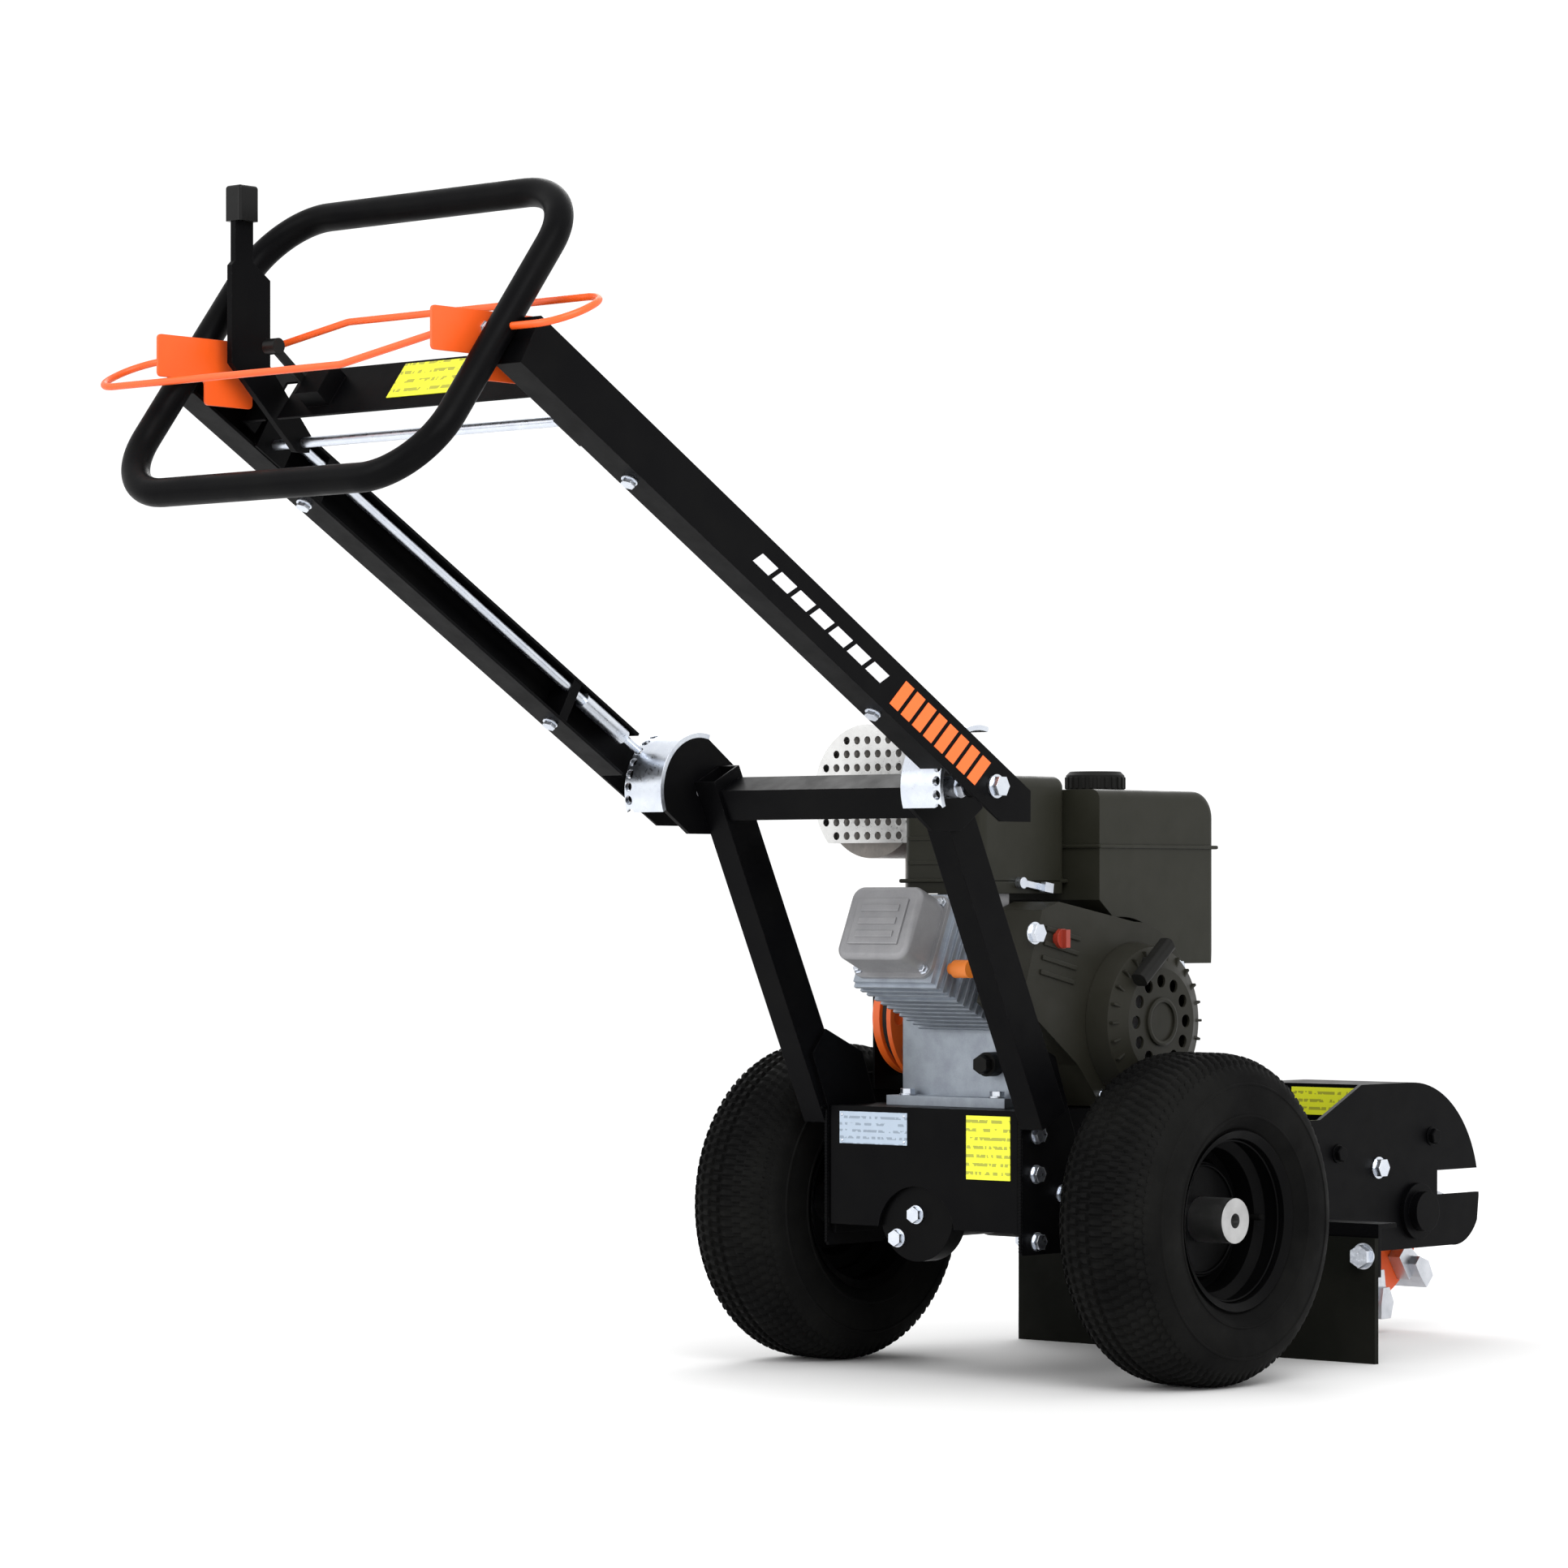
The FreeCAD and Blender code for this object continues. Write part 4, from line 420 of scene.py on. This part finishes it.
SHIFT = Matrix.Translation((AXLE_X, 0, 0))
add_label("data_plate", (DECK_BACK - 1.3, 24.5, 288), (DECK_BACK + 0.1, 134, 328),
          "chassis", "zinc", PLATE, SHIFT)
add_label("deck_label", (DECK_BACK - 0.9, -139, 250), (DECK_BACK + 0.1, -70, 328),
          "chassis", "clutch_paint", YELLOW, SHIFT)
add_label("guard_label", (639.1, -84, 302), (640.1, 25, 339), "chassis", "clutch_paint", YELLOW, SHIFT)
PANEL = frame_at(at(PANEL_X, 0, PANEL_Z), -LOOP_SLOPE)
add_label("panel_label", (-19, -90, 2.9), (31, 14, 3.9), "handle", "clutch_paint", YELLOW, PANEL)

build = bmesh.new()
for y, z in ((29, 292), (129.5, 292), (29, 324), (129.5, 324)):
    add_lathe(build, [(1.9, 0), (1.9, 0.6), (1.3, 1.3), (0.3, 1.6)], at(DECK_BACK - 1.2, y, z),
              (-1, 0, 0), 16)
piece("plate_rivets", mesh_of(build), "chassis", "zinc")


def striped(name, colour, rough):
    """Smooth vinyl tape."""
    return painted(name, colour, [c * 0.9 for c in colour], rough=rough, peel=0.04)


WHITE_VINYL = striped("white_vinyl", (0.72, 0.72, 0.74), (0.35, 0.45))
ORANGE_VINYL = striped("orange_vinyl", (0.86, 0.14, 0.012), (0.35, 0.45))
VINYL_THICK = 0.5
ARM = frame_at(at(PIVOT_X, 0, PIVOT_Z), ARM_SLOPE)


def slanted_bars(side, spans, half, lean):
    """Flat slanted bars on an arm's outer face, each between two places along the arm."""
    build = bmesh.new()
    for start, stop in spans:
        near, far = side * ARM_FACE / 1000, side * (ARM_FACE + VINYL_THICK) / 1000
        corners = [(start - lean, -half), (stop - lean, -half), (stop + lean, half), (start + lean, half)]
        low = [build.verts.new(ARM @ Vector((x / 1000, near, z / 1000))) for x, z in corners]
        high = [build.verts.new(ARM @ Vector((x / 1000, far, z / 1000))) for x, z in corners]
        build.faces.new(low)
        build.faces.new(high)
        for i in range(4):
            build.faces.new((low[i], low[i - 1], high[i - 1], high[i]))
    return mesh_of(build)


for name, side in (("left", 1), ("right", -1)):
    piece(name + "_arm_bars", slanted_bars(side, [(x, x + 17) for x in range(-205, -30, 23)], 19, 6),
          "handle", "orange_paint", ORANGE_VINYL)
    piece(name + "_arm_stripes", slanted_bars(side, [(x, x + 30) for x in range(-484, -230, 37)], 8, 5),
          "handle", "shield_steel", WHITE_VINYL)


# ---- Engine details ----------------------------------------------------------------------

CYLINDER = frame_at(at(CRANK_X, 0, CRANK_Z), CYLINDER_TILT)
build = bmesh.new()
add_slab(build, (-316.5, -40, -30), (-313, 40, 30), 1.6, CYLINDER)
for z in (-17, 0, 17):
    add_slab(build, (-318.4, -30, z - 4.5), (-316, 30, z + 4.5), 1.1, CYLINDER)
piece("cover_embossing", mesh_of(build), "chassis", "cover_alloy")

build = bmesh.new()
for y in (-52, 52):
    for z in (-44, 44):
        centre = CYLINDER @ Vector((-0.2682, y / 1000, z / 1000))
        way = CYLINDER.to_3x3() @ Vector((-1, 0, 0))
        add_lathe(build, [(6.5, 0), (6.5, 1.6), (5.2, 1.7), (5.2, 6.2), (4.2, 7.0)], centre, way, 6)
piece("cover_screws", mesh_of(build), "chassis", "zinc")

build = bmesh.new()
add_slab(build, (-7, -153, 655), (237, 113, 660), 2.2, SHIFT)
piece("tank_seam", mesh_of(build), "chassis", "tank_paint")

build = bmesh.new()
for i in range(24):
    turn = Matrix.Translation(at(115, -50, 0)) @ Matrix.Rotation(i * math.pi / 12, 4, "Z")
    add_slab(build, (35.6, -2.2, 731), (38.6, 2.2, 746), 0.9, turn)
piece("cap_grips", mesh_of(build), "fuel_cap", "black_plastic")

build = bmesh.new()
for i in range(24):
    turn = Matrix.Translation(at(CRANK_X, 0, CRANK_Z)) @ Matrix.Rotation(i * math.pi / 12, 4, "Y")
    add_slab(build, (72, -207, -1.6), (90, -199, 1.6), 0.8, turn)
add_lathe(build, [(30, -212.2), (30, -215), (27, -216), (24, -215), (24, -212.2)], at(CRANK_X, 0, CRANK_Z),
          (0, 1, 0), 64, closed=True)
piece("recoil_ribs", mesh_of(build), "chassis", "shroud_paint")

build = bmesh.new()
for z in (-40, -22, -4, 14):
    add_slab(build, (-196, -172.5, z + 60), (-128, -169.5, z + 66), 1.2,
             Matrix.Translation(at(CRANK_X, 0, CRANK_Z)) @ Matrix.Rotation(math.radians(12), 4, "Y"))
piece("shroud_ribs", mesh_of(build), "chassis", "shroud_paint")

build = bmesh.new()
for z in (634, 664, 694, 722):
    add_slab(build, (-179.2, -92, z), (-177.2, 12, z + 5), 0.9, SHIFT)
add_slab(build, (-181, -102, 612), (-5, 25, 617), 2.0, SHIFT)
piece("cleaner_ribs", mesh_of(build), "chassis", "tank_paint")


# ---- Frame details -----------------------------------------------------------------------

build = bmesh.new()
for side in (1, -1):
    for x, z in ((585, 254), (803, 270)):
        centre = at(x, side * (GUARD_FACE + 0.1), z)
        add_lathe(build, [(12.6, 0), (12.6, 1.6), (11.8, 2.0)], centre, (0, side, 0), 32)
        add_lathe(build, [(10.8, 2), (10.8, 8.2), (9.4, 9.4)], centre, (0, side, 0), 6)
piece("guard_bolts", mesh_of(build), "chassis", "frame_paint")

build = bmesh.new()
for side in (1, -1):
    add_bead(build, at(-58.6, side * 154.5, 163), at(-58.6, side * 154.5, 299))
    add_bead(build, at(-166.4, side * 155.5, 163), at(-166.4, side * 155.5, 329))
    add_bead(build, at(-313.6, side * FOOT_FACE, 705), at(-331, side * FOOT_FACE, 741))
    add_bead(build, at(-175, side * (FOOT_FACE + 0.6), 331), at(-124, side * (FOOT_FACE + 0.6), 352))
seam_x, seam_z = DECK_FRONT + 1, BOOM_TOP + 0.6
add_bead(build, at(seam_x, -150, seam_z), at(seam_x, -GUARD_FACE, seam_z))
add_bead(build, at(seam_x, GUARD_FACE, seam_z), at(seam_x, 150, seam_z))
for side in (1, -1):
    corner_x, corner_y = DECK_FRONT + 1.2, side * (GUARD_FACE + 0.6)
    add_bead(build, at(corner_x, corner_y, 180), at(corner_x, corner_y, 299))
piece("weld_beads", mesh_of(build), "chassis", "frame_paint", smooth=True)

build = bmesh.new()
for side in (1, -1):
    centre = at(LOOP_X, side * 216.2, LOOP_Z)
    add_lathe(build, [(8.5, 0), (8.5, 1.4), (7.0, 1.8), (7.0, 4.6), (5.8, 5.4)], centre, (0, side, 0), 6)
piece("bail_nuts", mesh_of(build), "bail", "zinc")


# ---- Stage, light, camera ----------------------------------------------------------------

# Painted shadow on the floor: full grey near the middle, fading to white between 0.9 m and 3.2 m from it.
FLOOR_HALF, PAINTED_SHADOW_TO, WHITE_FROM = 60, 0.9, 3.2
WORLD_STRENGTH = 1.12
LOOK_AT = (0, 0, 0.6)


def stage_floor():
    """A matt floor with a painted shadow: greyer by the machine so that its soft shadow shows."""
    mesh = bpy.data.meshes.new("floor")
    corners = [(x * FLOOR_HALF, y * FLOOR_HALF, 0) for x, y in ((-1, -1), (1, -1), (1, 1), (-1, 1))]
    mesh.from_pydata(corners, [], [(0, 1, 2, 3)])
    floor = bpy.data.objects.new("floor", mesh)
    bpy.context.scene.collection.objects.link(floor)
    s = Shader("floor")
    away = s.add("ShaderNodeVectorMath", {0: s.place}, operation="LENGTH").outputs["Value"]
    # Painted shadow: the floor colour is grey by the machine and white far off.
    s.feed(s.surface, "Base Color", s.mix(s.spread(away, 0.0, 1.0, PAINTED_SHADOW_TO, WHITE_FROM),
                                          rgba((0.76, 0.76, 0.76)), rgba((0.92, 0.92, 0.92))))
    s.surface.inputs["Roughness"].default_value = 0.9
    mesh.materials.append(s.material)


def area_light(name, place, target, size, power):
    """A rectangular lamp at a place, facing a target."""
    data = bpy.data.lights.new(name, "AREA")
    data.shape = "RECTANGLE"
    data.size, data.size_y = size
    data.energy = power
    lamp = bpy.data.objects.new(name, data)
    lamp.location = place
    lamp.rotation_euler = (Vector(target) - Vector(place)).to_track_quat("-Z", "Y").to_euler()
    bpy.context.scene.collection.objects.link(lamp)


stage_floor()
world = bpy.data.worlds.new("studio")
world.use_nodes = True
world.node_tree.nodes["Background"].inputs["Color"].default_value = (1.0, 1.0, 1.0, 1.0)
world.node_tree.nodes["Background"].inputs["Strength"].default_value = WORLD_STRENGTH
bpy.context.scene.world = world
area_light("key", (-2.5, -3.5, 4.0), LOOK_AT, (3.0, 3.0), 160)
area_light("fill", (-4.5, 1.5, 2.5), LOOK_AT, (2.5, 2.5), 60)
area_light("rim", (3.0, 2.5, 3.5), LOOK_AT, (2.5, 2.5), 80)

camera_data = bpy.data.cameras.new("camera")
camera_data.sensor_width = 36.0
camera_data.lens = 119.74
camera_data.shift_y = 0.0719
camera_data.clip_end = 200
camera = bpy.data.objects.new("camera", camera_data)
camera.location = (-4.904, -4.124, 0.595)
camera.rotation_euler = Vector((0.749, 0.6626, 0.0)).to_track_quat("-Z", "Y").to_euler()
bpy.context.scene.collection.objects.link(camera)
bpy.context.scene.camera = camera
bpy.context.scene.view_settings.view_transform = "Standard"
